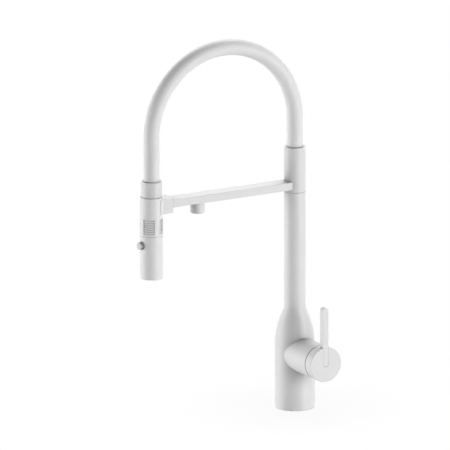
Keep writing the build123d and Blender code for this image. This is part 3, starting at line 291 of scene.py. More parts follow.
class Shape(Graph):
    """A geometry node tree with named inputs. It ends in realized geometry with its material."""

    def __init__(self, name, lengths=(), counts=(), takes_mesh=False):
        super().__init__(bpy.data.node_groups.new(name, "GeometryNodeTree"))
        sockets = self.tree.interface
        sockets.new_socket("Geometry", in_out="OUTPUT", socket_type="NodeSocketGeometry")
        if takes_mesh:
            sockets.new_socket("Mesh", in_out="INPUT", socket_type="NodeSocketGeometry")
        for label in lengths:
            sockets.new_socket(label, in_out="INPUT", socket_type="NodeSocketFloat")
        for label in counts:
            sockets.new_socket(label, in_out="INPUT", socket_type="NodeSocketInt")
        sockets.new_socket("Material", in_out="INPUT", socket_type="NodeSocketMaterial")
        self.entry = self.tree.nodes.new("NodeGroupInput")
        self.exit = self.tree.nodes.new("NodeGroupOutput")

    def value(self, label):
        """One of the tree's inputs."""
        return Socket(self, self.entry.outputs[label])

    def swept(self, curve, radius, sides, capped):
        """A round tube along a curve, which keeps each point's bearing from the middle."""
        sockets = {"Resolution": sides, "Radius": radius}
        circle = self.node("GeometryNodeCurvePrimitiveCircle", None, sockets)
        spot = self.node("GeometryNodeInputPosition")
        sockets = {"Geometry": circle, "Name": "bearing", "Value": spot}
        settings = {"data_type": "FLOAT_VECTOR"}
        circle = self.node("GeometryNodeStoreNamedAttribute", settings, sockets)
        sockets = {"Curve": curve, "Profile Curve": circle, "Fill Caps": capped}
        return self.node("GeometryNodeCurveToMesh", None, sockets)

    def close(self, geometry):
        """Realizes the geometry, gives it its material and ends the tree."""
        real = self.node("GeometryNodeRealizeInstances", None, {"Geometry": geometry})
        sockets = {"Geometry": real, "Material": self.value("Material")}
        coated = self.node("GeometryNodeSetMaterial", None, sockets)
        self.tree.links.new(coated.socket, self.exit.inputs[0])

    def grow(self, name, values, mesh=None):
        """A new object with this tree as its modifier, its inputs set from values."""
        piece = bpy.data.objects.new(name, mesh or bpy.data.meshes.new(name))
        bpy.context.scene.collection.objects.link(piece)
        modifier = piece.modifiers.new(self.tree.name, "NODES")
        modifier.node_group = self.tree
        for item in self.tree.interface.items_tree:
            if item.in_out == "INPUT" and item.name in values:
                modifier[item.identifier] = values[item.name]
        return piece


def shade(colour, brightness):
    """A colour made darker or lighter, with its alpha."""
    return (*(channel * brightness for channel in colour), 1.0)


def freeze(piece, place=None):
    """Makes a piece's evaluated shape a plain mesh in its place, smooth but for sharp edges."""
    evaluated = bpy.context.evaluated_depsgraph_get()
    mesh = bpy.data.meshes.new_from_object(
        piece.evaluated_get(evaluated), preserve_all_data_layers=True, depsgraph=evaluated
    )
    piece.modifiers.clear()
    piece.data = mesh
    mesh.name = piece.name
    if place:
        mesh.transform(place)
    mesh.shade_smooth()
    mesh.set_sharp_from_angle(angle=SMOOTH_ANGLE)
    return piece


def turned(name, profile, sides):
    """A closed mesh turned about Z from a closed profile of (radius, height) points.

    The profile goes down the outside first.
    """
    corners = []
    for side in range(sides):
        angle = 2 * math.pi * side / sides
        for radius, height in profile:
            corners.append((radius * math.cos(angle), radius * math.sin(angle), height))
    faces = []
    count = len(profile)
    for side in range(sides):
        here, there = side * count, (side + 1) % sides * count
        for step in range(count):
            after = (step + 1) % count
            faces.append((here + step, here + after, there + after, there + step))
    mesh = bpy.data.meshes.new(name)
    mesh.from_pydata(corners, [], faces)
    mesh.update()
    return mesh


# One finish for each of the record's slots, and a few for single nodes


def painted(name, look, necked=False):
    """Powder coat: faint orange peel, fine grain and a slow drift of tone."""
    finish = Finish(name, {"IOR": 1.5})
    peel = finish.noise(scale=700.0)
    grain = finish.noise(scale=3500.0, detail=1.0)
    drift = finish.noise(scale=22.0, detail=3.0)
    unshaded = finish.tones(drift, look.paint, low=0.985, high=1.01)
    # Base colour with painted shade in corners and creases
    finish.feed("Base Color", finish.filmed(unshaded, look.paint, look.paint_film, look.film_reach))
    finish.feed("Roughness", look.paint_roughness + (grain - 0.5) * 0.16 + (drift - 0.5) * 0.08)
    normal = finish.soft_normal(look.soft_edge)
    if necked:
        above = finish.rising(NECK + look.neck_above, NECK, RISER_LEAN)
        below = finish.rising(NECK - look.neck_below, NECK, SHOULDER_LEAN)
        on_riser = finish.math("GREATER_THAN", finish.height(), NECK)
        normal = finish.leaning(normal, above * on_riser + below * (1.0 - on_riser))
    finish.relief(peel + grain * 0.3, look.peel_depth, normal)
    return finish.material


def satin_paint(look):
    """Paint on the handle and the spout's metal parts."""
    return painted("satin_paint", look)


def column_paint(look):
    """Paint on the body and riser, filled to a soft turn where they meet."""
    return painted("column_paint", look, necked=True)


def moulded(name, colour, look):
    """Moulded plastic: eroded-tool grain and faint flow marks along the hand spray."""
    finish = Finish(name, {"IOR": 1.49})
    grain = finish.cells(scale=2600.0)
    flow = finish.noise(scale=1.0, detail=3.0, place=finish.stretched((60.0, 60.0, 9.0)))
    unshaded = finish.tones(flow, colour, low=0.985, high=1.01)
    # Base colour with painted shade in grooves and corners
    finish.feed("Base Color", finish.filmed(unshaded, colour, look.plastic_film, look.film_reach))
    finish.feed("Roughness", look.plastic_roughness + (grain - 0.4) * 0.14 + (flow - 0.5) * 0.08)
    finish.relief(grain, look.peel_depth * 0.7, finish.soft_normal(look.soft_edge))
    return finish.material


def moulded_white(look):
    """The hand spray's white shells."""
    return moulded("moulded_white", look.plastic, look)


def moulded_button(look):
    """The push button's pale grey cap."""
    return moulded("moulded_button", look.button, look)


def silicone_cover(look):
    """Soft white hose cover: powdery mottling and fine drawn rings along its length."""
    finish = Finish("silicone_cover", {"IOR": 1.41, "Sheen Weight": 0.08, "Sheen Roughness": 0.5})
    mottle = finish.noise(scale=420.0, detail=4.0)
    cloud = finish.noise(scale=35.0, detail=2.0)
    along = finish.node("ShaderNodeAttribute", {"attribute_name": "along"}, None, "Fac")
    rings = finish.math("SINE", along * (2 * math.pi / look.hose_ring_pitch))
    unshaded = finish.tones(cloud, look.hose, low=0.98, high=1.01)
    # Base colour with painted shade where the cover is closed in
    finish.feed("Base Color", finish.filmed(unshaded, look.hose, look.plastic_film, look.film_reach))
    finish.feed("Roughness", look.hose_roughness + (mottle - 0.5) * 0.15)
    finish.relief(mottle + rings * 0.04, look.peel_depth)
    return finish.material


def turned_brass(look):
    """Machined brass: fine tool rings and a thin brown bloom."""
    finish = Finish("turned_brass", {"Metallic": 1.0})
    rings = finish.noise(scale=1.0, detail=2.0, place=finish.stretched((40.0, 40.0, 3200.0)))
    bloom = finish.noise(scale=160.0, detail=5.0)
    share = finish.ramp(bloom, ((0.45, 0.0), (0.75, 0.6)))
    finish.feed("Base Color", finish.tones(share, look.brass, low=1.0, high=0.62))
    finish.feed("Roughness", 0.22 + rings * 0.16 + share * 0.2)
    finish.relief(rings, depth=0.02 * MM)
    return finish.material


def bright_steel(look):
    """Stainless steel: drawn lines and small stains."""
    finish = Finish("bright_steel", {"Metallic": 1.0})
    lines = finish.noise(scale=1.0, detail=3.0, place=finish.stretched((2600.0, 2600.0, 90.0)))
    stain = finish.noise(scale=240.0, detail=4.0)
    finish.feed("Base Color", finish.tones(stain, look.steel, low=0.86, high=1.04))
    finish.feed("Roughness", 0.2 + lines * 0.16 + stain * 0.08)
    finish.relief(lines, depth=0.01 * MM)
    return finish.material


def nickel_plate(look):
    """Nickel on the magnet: near mirror, with a pebbled core showing through."""
    finish = Finish("nickel_plate", {"Metallic": 1.0})
    pebbles = finish.cells(scale=1500.0)
    finish.feed("Base Color", finish.tones(pebbles, look.steel, low=1.05, high=1.15))
    finish.feed("Roughness", 0.1 + pebbles * 0.15)
    finish.relief(pebbles, depth=0.01 * MM)
    return finish.material


def lapped_ceramic(look):
    """Alumina disc: lapped haze over a speckled body."""
    finish = Finish("lapped_ceramic", {"IOR": 1.76})
    spots = finish.noise(scale=1800.0, detail=2.0)
    specks = finish.ramp(spots, ((0.30, 0.0), (0.42, 1.0)))
    haze = finish.noise(scale=300.0, detail=3.0)
    finish.feed("Base Color", finish.tones(specks, look.ceramic, low=0.86, high=1.0))
    finish.feed("Roughness", 0.18 + haze * 0.2)
    finish.relief(haze, depth=0.004 * MM)
    return finish.material


def rubber(name, colour, dusting):
    """Rubber with a paler bloom on it."""
    finish = Finish(name, {"IOR": 1.52})
    bloom = finish.noise(scale=350.0, detail=4.0)
    grain = finish.noise(scale=2500.0, detail=2.0)
    share = finish.ramp(bloom, ((0.5, 0.0), (0.8, 0.5)))
    finish.feed("Base Color", finish.tones(share, colour, low=1.0, high=dusting))
    finish.feed("Roughness", 0.5 + grain * 0.2 + share * 0.15)
    finish.relief(grain, depth=0.02 * MM)
    return finish.material


def black_seal(look):
    """Black seals."""
    return rubber("black_seal", look.seal, dusting=2.4)


def grey_grommet(look):
    """Grey rubber rings in the mouths round the hose; their grey also stands in for the shade in
    those mouths, as painted shade.
    """
    return rubber("grey_grommet", look.grommet, dusting=1.4)


def soft_tip(look):
    """Grey silicone of the spray tips: silky, slightly mottled."""
    finish = Finish("soft_tip", {"IOR": 1.41, "Sheen Weight": 0.15, "Sheen Roughness": 0.4})
    mottle = finish.noise(scale=1400.0, detail=3.0)
    finish.feed("Base Color", finish.tones(mottle, look.tip, low=0.9, high=1.08))
    finish.feed("Roughness", 0.45 + mottle * 0.2)
    finish.relief(mottle, depth=0.015 * MM)
    return finish.material


def grey_moulding(look):
    """Grey engineering plastic: flow clouds, glass fibres and a matt tool grain."""
    finish = Finish("grey_moulding", {"IOR": 1.48})
    flow = finish.noise(scale=1.0, detail=3.0, place=finish.stretched((90.0, 90.0, 25.0)))
    fibres = finish.noise(scale=1.0, detail=1.0, place=finish.stretched((900.0, 900.0, 260.0)))
    grain = finish.cells(scale=2200.0)
    clouds = flow * 0.7 + fibres * 0.3
    finish.feed("Base Color", finish.tones(clouds, look.moulding, low=0.86, high=1.1))
    finish.feed("Roughness", 0.38 + grain * 0.2 + flow * 0.08)
    finish.relief(grain + fibres * 0.4, depth=0.02 * MM)
    return finish.material


def milky_tube(look):
    """Milky polyethylene tube with drawn lines along it."""
    finish = Finish("milky_tube", {"IOR": 1.5, "Subsurface Weight": 0.3, "Subsurface Scale": 0.002})
    lines = finish.noise(scale=1.0, detail=2.0, place=finish.stretched((2200.0, 2200.0, 8.0)))
    cloud = finish.noise(scale=120.0, detail=3.0)
    finish.feed("Base Color", finish.tones(cloud, look.tube, low=0.93, high=1.05))
    finish.feed("Roughness", 0.3 + lines * 0.2)
    finish.relief(lines, depth=0.01 * MM)
    return finish.material


def braided_rubber(look):
    """Inner hose: black rubber under a fine crossed braid that follows its length."""
    finish = Finish("braided_rubber", {"IOR": 1.5})
    along = finish.node("ShaderNodeAttribute", {"attribute_name": "along"}, None, "Fac")
    bearing = finish.node("ShaderNodeAttribute", {"attribute_name": "bearing"}, None, "Vector")
    across = finish.node("ShaderNodeSeparateXYZ", None, {"Vector": bearing})
    turns = along * (2 * math.pi / look.braid_pitch)
    carriers = finish.math("ARCTAN2", across.also("Y"), across) * look.braid_carriers
    strand_up = finish.math("SINE", turns + carriers)
    strand_down = finish.math("SINE", turns - carriers)
    crossing = finish.math("MAXIMUM", strand_up, strand_down) * 0.5 + 0.5
    dust = finish.noise(scale=500.0, detail=3.0)
    weave = crossing * 0.8 + dust * 0.2
    finish.feed("Base Color", finish.tones(weave, look.braid, low=0.6, high=1.5))
    finish.feed("Roughness", 0.75 - crossing * 0.25)
    finish.relief(crossing, depth=0.15 * MM)
    return finish.material


FINISHES = {
    "white_paint": satin_paint,
    "column": column_paint,
    "white_plastic": moulded_white,
    "grey_button": moulded_button,
    "ring_with_mouth_shade": grey_grommet,
    "white_hose": silicone_cover,
    "brass": turned_brass,
    "steel": bright_steel,
    "magnet": nickel_plate,
    "ceramic": lapped_ceramic,
    "seal_rubber": black_seal,
    "tip_rubber": soft_tip,
    "grey_plastic": grey_moulding,
    "tube_plastic": milky_tube,
    "inner_rubber": braided_rubber,
}
OWN_FINISH = {
    "base_body": "column",
    "riser_tube": "column",
    "spray_button": "grey_button",
    "collar_grommet": "ring_with_mouth_shade",
    "ferrule_grommet": "ring_with_mouth_shade",
}
made_finishes = {}


def finish_for(slot):
    """The finish of a slot, or of a node that has its own, made once."""
    if slot not in made_finishes:
        made_finishes[slot] = FINISHES[slot](bpy.context.scene.tap_look)
    return made_finishes[slot]


def coat(wanted):
    """Gives every CAD node whose slot is wanted its finish."""
    for name, node in frame["nodes"].items():
        if wanted(SLOT_OF[name]):
            node.data.materials.clear()
            node.data.materials.append(finish_for(OWN_FINISH.get(name, SLOT_OF[name])))


def colour_property(name, description, default):
    """A colour that a user may change."""
    return FloatVectorProperty(
        name=name,
        description=description,
        default=default,
        subtype="COLOR",
        size=3,
        min=0.0,
        max=1.0,
    )


def length_property(name, description, default):
    """A length in metres that a user may change."""
    return FloatProperty(
        name=name, description=description, default=default, min=0.0, unit="LENGTH", precision=5
    )


def offset_property(name, description, default):
    """A length in metres, on either side, that a user may change."""
    return FloatProperty(name=name, description=description, default=default, unit="LENGTH")


def share_property(name, description, default, most=1.0):
    """A share of 1 that a user may change."""
    return FloatProperty(name=name, description=description, default=default, min=0.0, max=most)


def angle_property(name, description, degrees):
    """An angle that a user may change."""
    return FloatProperty(
        name=name, description=description, default=math.radians(degrees), subtype="ANGLE"
    )


def power_property(name, description, default):
    """A lamp's power in watts that a user may change."""
    return FloatProperty(name=name, description=description, default=default, min=0.0, unit="POWER")


class TapLook(bpy.types.PropertyGroup):
    """Colours and surface sizes of the finishes"""

    paint: colour_property("Paint", "Powder coat on the metal parts", (0.78, 0.78, 0.78))
    plastic: colour_property("Plastic", "Hand spray shells", (0.84, 0.84, 0.84))
    button: colour_property("Button", "Push button's cap", (0.64, 0.64, 0.64))
    hose: colour_property("Hose", "Silicone cover of the hose", (0.84, 0.84, 0.84))
    brass: colour_property("Brass", "Turned brass inside", (0.72, 0.52, 0.24))
    steel: colour_property("Steel", "Springs, pins and screws", (0.60, 0.60, 0.61))
    ceramic: colour_property("Ceramic", "Cartridge discs", (0.82, 0.81, 0.78))
    seal: colour_property("Seals", "Rubber seals", (0.02, 0.02, 0.02))
    # Partly painted shade: the grommets' grey stands in for the shade in the mouths round the hose
    grommet: colour_property("Grommets", "Rubber rings round the hose's ends", (0.40, 0.40, 0.40))
    tip: colour_property("Spray tips", "Silicone tips of the spray", (0.30, 0.30, 0.31))
    moulding: colour_property("Inner plastic", "Cartridge, core and spray face", (0.33, 0.33, 0.34))
    tube: colour_property("Tube", "Filtered water tube", (0.62, 0.64, 0.66))
    braid: colour_property("Braid", "Braid of the inner hose", (0.10, 0.10, 0.10))
    paint_roughness: share_property("Paint roughness", "Gloss of the powder coat", 0.46)
    plastic_roughness: share_property("Plastic roughness", "Gloss of the white plastic", 0.44)
    hose_roughness: share_property("Hose roughness", "Gloss of the hose cover", 0.52)
    peel_depth: length_property("Peel depth", "Depth of the paint's orange peel", 0.02 * MM)
    soft_edge: length_property("Soft edge", "Radius by which paint rounds an edge", 0.2 * MM)
    hose_ring_pitch: length_property("Hose ring pitch", "Spacing of the hose's drawn rings", 0.5 * MM)
    braid_pitch: length_property("Braid pitch", "Length of one turn of a braid strand", 9.0 * MM)
    # Painted shade: how dark the paint and the plastic get in corners and grooves
    paint_film: share_property("Paint corner shade", "How dark the painted shade makes a tight corner", 0.9)
    plastic_film: share_property("Plastic corner shade", "How dark the painted shade makes a tight groove", 0.24)
    neck_above: length_property("Neck above", "Soft turn of paint on the riser's foot", 6.0 * MM)
    neck_below: length_property("Neck below", "Soft turn of paint on the shoulder", 14.0 * MM)
    # Painted shade: how far it spreads out of a corner
    film_reach: length_property("Corner shade reach", "How far the painted shade spreads out of a corner", 60.0 * MM)
    braid_carriers: IntProperty(
        name="Braid strands", description="Strands each way round the inner hose", default=8, min=2
    )


class TapHose(bpy.types.PropertyGroup):
    """Sizes of the arched hose and its inner tube"""

    cover_radius: length_property("Cover radius", "Outside of the hose", 10.5 * MM)
    cover_wall: length_property("Cover wall", "Thickness of the hose cover", 2.5 * MM)
    tube_radius: length_property("Tube radius", "Outside of the inner tube", 7.95 * MM)
    tube_wall: length_property("Tube wall", "Thickness of the inner tube", 2.9 * MM)
    start: length_property("Start", "Height of the hose's foot in the collar", 331.3 * MM)
    finish: length_property("Finish", "Height of the hose's end in the ferrule", HOSE_END)
    spring_line: length_property("Spring line", "Height where the arch begins", 388.3 * MM)
    reach: length_property("Reach", "From the riser's axis to the hand spray's", 215.5 * MM)
    steps: IntProperty(name="Steps", description="Rings of faces along it", default=260, min=16)
    sides: IntProperty(name="Sides", description="Faces round it", default=64, min=8)


class TapSprings(bpy.types.PropertyGroup):
    """Sizes of the two coil springs"""

    flow_wire: length_property("Flow wire", "Wire of the flow valve's spring", 0.8 * MM)
    button_wire: length_property("Button wire", "Wire of the push button's spring", 0.6 * MM)
    turns: FloatProperty(name="Turns", description="Turns in each spring", default=4.0, min=1.0)
    closed_ends: share_property("Closed ends", "How far the end turns close up", 0.3, most=0.6)


class TapTips(bpy.types.PropertyGroup):
    """Sizes of the soft tips in the spray's face"""

    count: IntProperty(name="Tips", description="Tips round the face", default=16, min=3)
    ring: length_property("Ring", "Radius of the ring of tips", 9.8 * MM)
    radius: length_property("Radius", "Radius of a tip in the face", 1.0 * MM)
    nose: length_property("Nose", "Radius of a tip's nose", 0.72 * MM)
    bore: length_property("Bore", "Radius of a tip's bore", 0.35 * MM)


class TapStudio(bpy.types.PropertyGroup):
    """Camera, lamps and floor"""

    azimuth: angle_property("Azimuth", "Camera round from the front", 59.84)
    elevation: angle_property("Elevation", "Camera above the floor", 14.62)
    width: length_property("Width", "Width of the parallel view", 0.585)
    aside: offset_property("Aside", "Middle of the view right of the tap's foot", -0.0907)
    above: offset_property("Above", "Middle of the view above the tap's foot", 0.2358)
    floor: colour_property("Floor", "Pale floor", (0.62, 0.62, 0.62))
    shadow_reach: length_property("Shadow reach", "How far out the floor shows a shadow", 0.16)
    ambient: share_property("Ambient", "Light from all round", 0.01)
    right_lamp: power_property("Right lamp", "Soft lamp on the right", 225.0)
    left_lamp: power_property("Left lamp", "Soft lamp on the left", 242.0)
    back_lamp: power_property("Back lamp", "Soft lamp above and behind", 222.0)


class TAP_OT_coat_outside(bpy.types.Operator):
    """Satin paint on the metal shells and moulded white on the hand spray"""

    bl_idname = "tap.coat_outside"
    bl_label = "Coat Outside"

    def execute(self, context):
        coat(lambda slot: slot in OUTSIDE_SLOTS)
        return {"FINISHED"}


class TAP_OT_coat_inside(bpy.types.Operator):
    """Brass, steel, ceramic, rubber and plastic on the working parts"""

    bl_idname = "tap.coat_inside"
    bl_label = "Coat Inside"

    def execute(self, context):
        coat(lambda slot: slot not in OUTSIDE_SLOTS)
        return {"FINISHED"}


class TAP_OT_bend_hose(bpy.types.Operator):
    """The arched hose and its inner tube, from the collar to the ferrule"""

    bl_idname = "tap.bend_hose"
    bl_label = "Bend Hose"

    def arched_tube(self):
        """The tree of a tube that rises, turns over in a half circle and falls."""
        lengths = ("Radius", "Start", "Rise", "Arch", "Fall")
        shape = Shape("ArchedTube", lengths, ("Steps", "Sides"))
        rise, arch, fall = (shape.value(label) for label in ("Rise", "Arch", "Fall"))
        line = shape.node("GeometryNodeCurvePrimitiveLine")
        sockets = {"Curve": line, "Count": shape.value("Steps")}
        path = shape.node("GeometryNodeResampleCurve", None, sockets)
        share = shape.node("GeometryNodeSplineParameter")
        over = arch * math.pi
        run = share * (rise + over + fall)
        turn = shape.math("MAXIMUM", shape.math("MINIMUM", (run - rise) / arch, math.pi), 0.0)
        down = shape.math("MAXIMUM", run - rise - over, 0.0)
        foot = shape.value("Start") + shape.math("MINIMUM", run, rise)
        height = foot + arch * shape.math("SINE", turn) - down
        forward = arch * (shape.math("COSINE", turn) - 1.0)
        point = shape.node("ShaderNodeCombineXYZ", None, {"Y": forward, "Z": height})
        path = shape.node("GeometryNodeSetPosition", None, {"Geometry": path, "Position": point})
        sockets = {"Geometry": path, "Name": "along", "Value": run}
        path = shape.node("GeometryNodeStoreNamedAttribute", None, sockets)
        shape.close(shape.swept(path, shape.value("Radius"), shape.value("Sides"), capped=False))
        return shape

    def execute(self, context):
        sizes = context.scene.tap_hose
        shape = self.arched_tube()
        rows = (
            ("arched_hose", "spout_hose", sizes.cover_radius, sizes.cover_wall),
            ("inner_tube", "inner_hose", sizes.tube_radius, sizes.tube_wall),
        )
        for name, node, radius, wall in rows:
            values = {
                "Radius": radius,
                "Start": sizes.start,
                "Rise": sizes.spring_line - sizes.start,
                "Arch": sizes.reach / 2,
                "Fall": sizes.spring_line - sizes.finish,
                "Steps": sizes.steps,
                "Sides": sizes.sides,
                "Material": finish_for(SLOT_OF[node]),
            }
            hose = shape.grow(name, values)
            solid = hose.modifiers.new("Wall", "SOLIDIFY")
            solid.thickness = wall
            solid.offset = -1.0
            freeze(hose)
            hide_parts(node)
            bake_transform(hose)
        return {"FINISHED"}


class TAP_OT_wind_springs(bpy.types.Operator):
    """The flow valve's spring and the push button's spring"""

    bl_idname = "tap.wind_springs"
    bl_label = "Wind Springs"

    def coil(self):
        """The tree of a coil spring along Z whose end turns close up."""
        lengths = ("Turns", "Radius", "Length", "Wire", "Closing")
        shape = Shape("CoilSpring", lengths)
        sockets = {
            "Resolution": COIL_POINTS,
            "Rotations": shape.value("Turns"),
            "Start Radius": shape.value("Radius"),
            "End Radius": shape.value("Radius"),
            "Height": shape.value("Length"),
        }
        helix = shape.node("GeometryNodeCurveSpiral", None, sockets)
        share = shape.node("GeometryNodeSplineParameter")
        circle = 2 * math.pi
        wave = shape.math("SINE", share * circle) * shape.value("Closing") * shape.value("Length")
        lift = shape.node("ShaderNodeCombineXYZ", None, {"Z": wave / -circle})
        helix = shape.node("GeometryNodeSetPosition", None, {"Geometry": helix, "Offset": lift})
        shape.close(shape.swept(helix, shape.value("Wire") * 0.5, WIRE_SIDES, capped=True))
        return shape

    def execute(self, context):
        sizes = context.scene.tap_springs
        shape = self.coil()
        rows = (
            ("valve_spring", "flow_spring", "tap_body", "flow_slide", 0),
            ("push_spring", "button_spring", "hand_spray", "button_press", 1),
        )
        wires = {"valve_spring": sizes.flow_wire, "push_spring": sizes.button_wire}
        for name, node, body, joint, along in rows:
            wire, travel = wires[name], SPRING_TRAVEL[name]
            low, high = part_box(node)
            length = high[along] - low[along]
            values = {
                "Turns": sizes.turns,
                "Radius": (high.z - low.z - wire) / 2,
                "Length": length - wire,
                "Wire": wire,
                "Closing": sizes.closed_ends,
                "Material": finish_for(SLOT_OF[node]),
            }
            axis = Vector((1, 0, 0)) if along == 0 else Vector((0, 1, 0))
            foot = (low + high) / 2
            foot[along] = low[along] + wire / 2
            place = Matrix.Translation(foot) @ axis.to_track_quat("Z", "Y").to_matrix().to_4x4()
            spring = freeze(shape.grow(name, values), place)
            anchor = (low + high) / 2
            anchor[along] = low[along] if along == 0 else high[along]
            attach(spring, body)
            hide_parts(node)
            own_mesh(spring)
        return {"FINISHED"}


class TAP_OT_set_spray_tips(bpy.types.Operator):
    """The ring of soft tips in the hand spray's face"""

    bl_idname = "tap.set_spray_tips"
    bl_label = "Set Spray Tips"

    def tip(self, sizes, depth, proud):
        """One tip with a rounded nose and a flared bore, its mouth at the origin, its body above."""
        full, nose, bore = sizes.radius, sizes.nose, sizes.bore
        lip = (nose - bore) * 0.4
        curl = lip * 0.3
        taper = (full - nose) * 0.25
        profile = (
            (full, depth),
            (full, proud),
            (full - taper, proud * 0.85),
            (nose, lip),
            (nose - curl, curl),
            (nose - lip, 0.0),
            (bore + lip, 0.0),
            (bore + curl, curl),
            (bore, lip),
            (bore, depth),
        )
        return turned("spray_tip", profile, TIP_SIDES)

    def tip_ring(self):
        """The tree that sets a mesh round a circle."""
        shape = Shape("TipRing", ("Ring",), ("Count",), takes_mesh=True)
        sockets = {"Vertices": shape.value("Count"), "Radius": shape.value("Ring")}
        circle = shape.node("GeometryNodeMeshCircle", None, sockets)
        sockets = {"Points": circle, "Instance": shape.value("Mesh")}
        shape.close(shape.node("GeometryNodeInstanceOnPoints", None, sockets))
        return shape

    def execute(self, context):
        sizes = context.scene.tap_tips
        low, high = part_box("spray_tips")
        plate_low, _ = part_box("spray_plate")
        mesh = self.tip(sizes, high.z - low.z, plate_low.z - low.z)
        rubber_finish = finish_for(SLOT_OF["spray_tips"])
        values = {"Count": sizes.count, "Ring": sizes.ring, "Material": rubber_finish}
        middle = (low + high) / 2
        place = Matrix.Translation((middle.x, middle.y, low.z))
        tips = freeze(self.tip_ring().grow("soft_tips", values, mesh), place)
        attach(tips, "hand_spray")
        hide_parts("spray_tips")
        return {"FINISHED"}


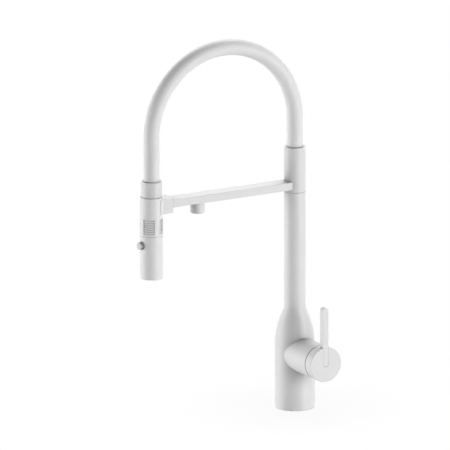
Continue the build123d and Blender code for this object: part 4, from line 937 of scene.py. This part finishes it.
class TAP_OT_set_stage(bpy.types.Operator):
    """Camera, lamps, pale floor and surround"""

    bl_idname = "tap.set_stage"
    bl_label = "Set Stage"

    def aim_camera(self, context, sizes):
        """The parallel camera of the photograph."""
        turn, lift = sizes.azimuth, sizes.elevation
        right = Vector((math.cos(turn), math.sin(turn), 0.0))
        up = Vector((-math.sin(turn), math.cos(turn), 0.0)) * math.sin(lift)
        up.z = math.cos(lift)
        back = right.cross(up)
        camera = bpy.data.cameras.new("studio_camera")
        camera.type = "ORTHO"
        camera.ortho_scale = sizes.width
        holder = bpy.data.objects.new("studio_camera", camera)
        context.scene.collection.objects.link(holder)
        place = Matrix((right, up, back)).transposed().to_4x4()
        place.translation = right * sizes.aside + up * sizes.above + back * CAMERA_DISTANCE
        holder.matrix_world = place
        context.scene.camera = holder

    def hang_lamp(self, context, sizes, name):
        """A soft lamp that looks at the tap's middle."""
        aside, above, width, height = LAMPS[name]
        turn = sizes.azimuth + math.radians(aside)
        lift = math.radians(above)
        away = Vector((math.sin(turn), -math.cos(turn), 0.0)) * math.cos(lift)
        away.z = math.sin(lift)
        lamp = bpy.data.lights.new(name, "AREA")
        lamp.shape = "RECTANGLE"
        lamp.size, lamp.size_y = width, height
        lamp.energy = getattr(sizes, name)
        holder = bpy.data.objects.new(name, lamp)
        context.scene.collection.objects.link(holder)
        holder.location = (cad_low + cad_high) / 2 + away * LAMP_DISTANCE
        holder.rotation_mode = "QUATERNION"
        holder.rotation_quaternion = (-away).to_track_quat("-Z", "Y")
        holder.visible_camera = False

    def light_surround(self, context, sizes):
        """White to the camera and to reflections, softer as light."""
        world = bpy.data.worlds.new("surround")
        context.scene.world = world
        world.use_nodes = True
        graph = Graph(world.node_tree)
        world.node_tree.nodes.clear()
        seen = graph.seen()
        strength = seen + (1.0 - seen) * sizes.ambient
        sky = graph.node("ShaderNodeBackground", None, {"Color": WHITE, "Strength": strength})
        graph.node("ShaderNodeOutputWorld", None, {"Surface": sky})

    def lay_floor(self, context, sizes):
        """A wide pale floor, like a light table.

        It keeps the tap's soft shadow, lets light through from below and is clear from there.
        """
        ends = ((-1, -1), (1, -1), (1, 1), (-1, 1))
        corners = [(x * FLOOR_HALF, y * FLOOR_HALF, FLOOR_HEIGHT) for x, y in ends]
        mesh = bpy.data.meshes.new("floor")
        mesh.from_pydata(corners, [], [range(len(corners))])
        floor = bpy.data.objects.new("floor", mesh)
        context.scene.collection.objects.link(floor)
        material = bpy.data.materials.new("pale_floor")
        material.use_nodes = True
        graph = Graph(material.node_tree)
        material.node_tree.nodes.clear()
        seen = graph.seen()
        matt = graph.node("ShaderNodeBsdfDiffuse", None, {"Color": shade(sizes.floor, 1.0)})
        glow = graph.node("ShaderNodeEmission", None, {"Color": WHITE, "Strength": 1.0})
        place = graph.node("ShaderNodeTexCoord", output="Object")
        away = graph.node("ShaderNodeVectorMath", {"operation": "LENGTH"}, {0: place}, "Value")
        fade = graph.math("SMOOTH_MIN", away / sizes.shadow_reach, 1.0, SHADOW_SOFTNESS)
        share = 1.0 - (1.0 - fade) * SHADOW_DEPTH
        blend = graph.node("ShaderNodeMixShader", None, {0: seen * share, 1: matt, 2: glow})
        below = graph.node("ShaderNodeNewGeometry", output="Backfacing")
        clear = graph.node("ShaderNodeBsdfTransparent")
        sided = graph.node("ShaderNodeMixShader", None, {0: below, 1: blend, 2: clear})
        graph.node("ShaderNodeOutputMaterial", None, {"Surface": sided})
        mesh.materials.append(material)
        floor.visible_shadow = False

    def execute(self, context):
        sizes = context.scene.tap_studio
        context.scene.view_settings.view_transform = "Standard"
        self.aim_camera(context, sizes)
        for name in LAMPS:
            self.hang_lamp(context, sizes, name)
        self.light_surround(context, sizes)
        self.lay_floor(context, sizes)
        return {"FINISHED"}


OPERATORS = (
    TAP_OT_coat_outside,
    TAP_OT_coat_inside,
    TAP_OT_bend_hose,
    TAP_OT_wind_springs,
    TAP_OT_set_spray_tips,
    TAP_OT_set_stage,
)
SETTINGS = {
    "tap_look": TapLook,
    "tap_hose": TapHose,
    "tap_springs": TapSprings,
    "tap_tips": TapTips,
    "tap_studio": TapStudio,
}


class TAP_PT_sidebar(bpy.types.Panel):
    """The tap's steps and sizes"""

    bl_idname = "TAP_PT_sidebar"
    bl_label = "Kitchen Mixer Tap"
    bl_space_type = "VIEW_3D"
    bl_region_type = "UI"
    bl_category = "Tap"

    def draw(self, context):
        layout = self.layout
        for operator in OPERATORS:
            layout.operator(operator.bl_idname)
        for holder, group in SETTINGS.items():
            box = layout.box()
            box.label(text=group.__doc__)
            for key in group.__annotations__:
                box.prop(getattr(context.scene, holder), key)


def register():
    """Registers the settings, the operators and the panel."""
    for holder, group in SETTINGS.items():
        bpy.utils.register_class(group)
        setattr(bpy.types.Scene, holder, PointerProperty(type=group))
    for operator in OPERATORS:
        bpy.utils.register_class(operator)
    bpy.utils.register_class(TAP_PT_sidebar)


def unregister():
    """Takes back what register did."""
    bpy.utils.unregister_class(TAP_PT_sidebar)
    for operator in reversed(OPERATORS):
        bpy.utils.unregister_class(operator)
    for holder, group in reversed(SETTINGS.items()):
        delattr(bpy.types.Scene, holder)
        bpy.utils.unregister_class(group)


def main():
    """Dresses the tap and sets the stage."""
    register()
    for operator in OPERATORS:
        group, step = operator.bl_idname.split(".")
        getattr(getattr(bpy.ops, group), step)()


if __name__ == "__main__":
    main()
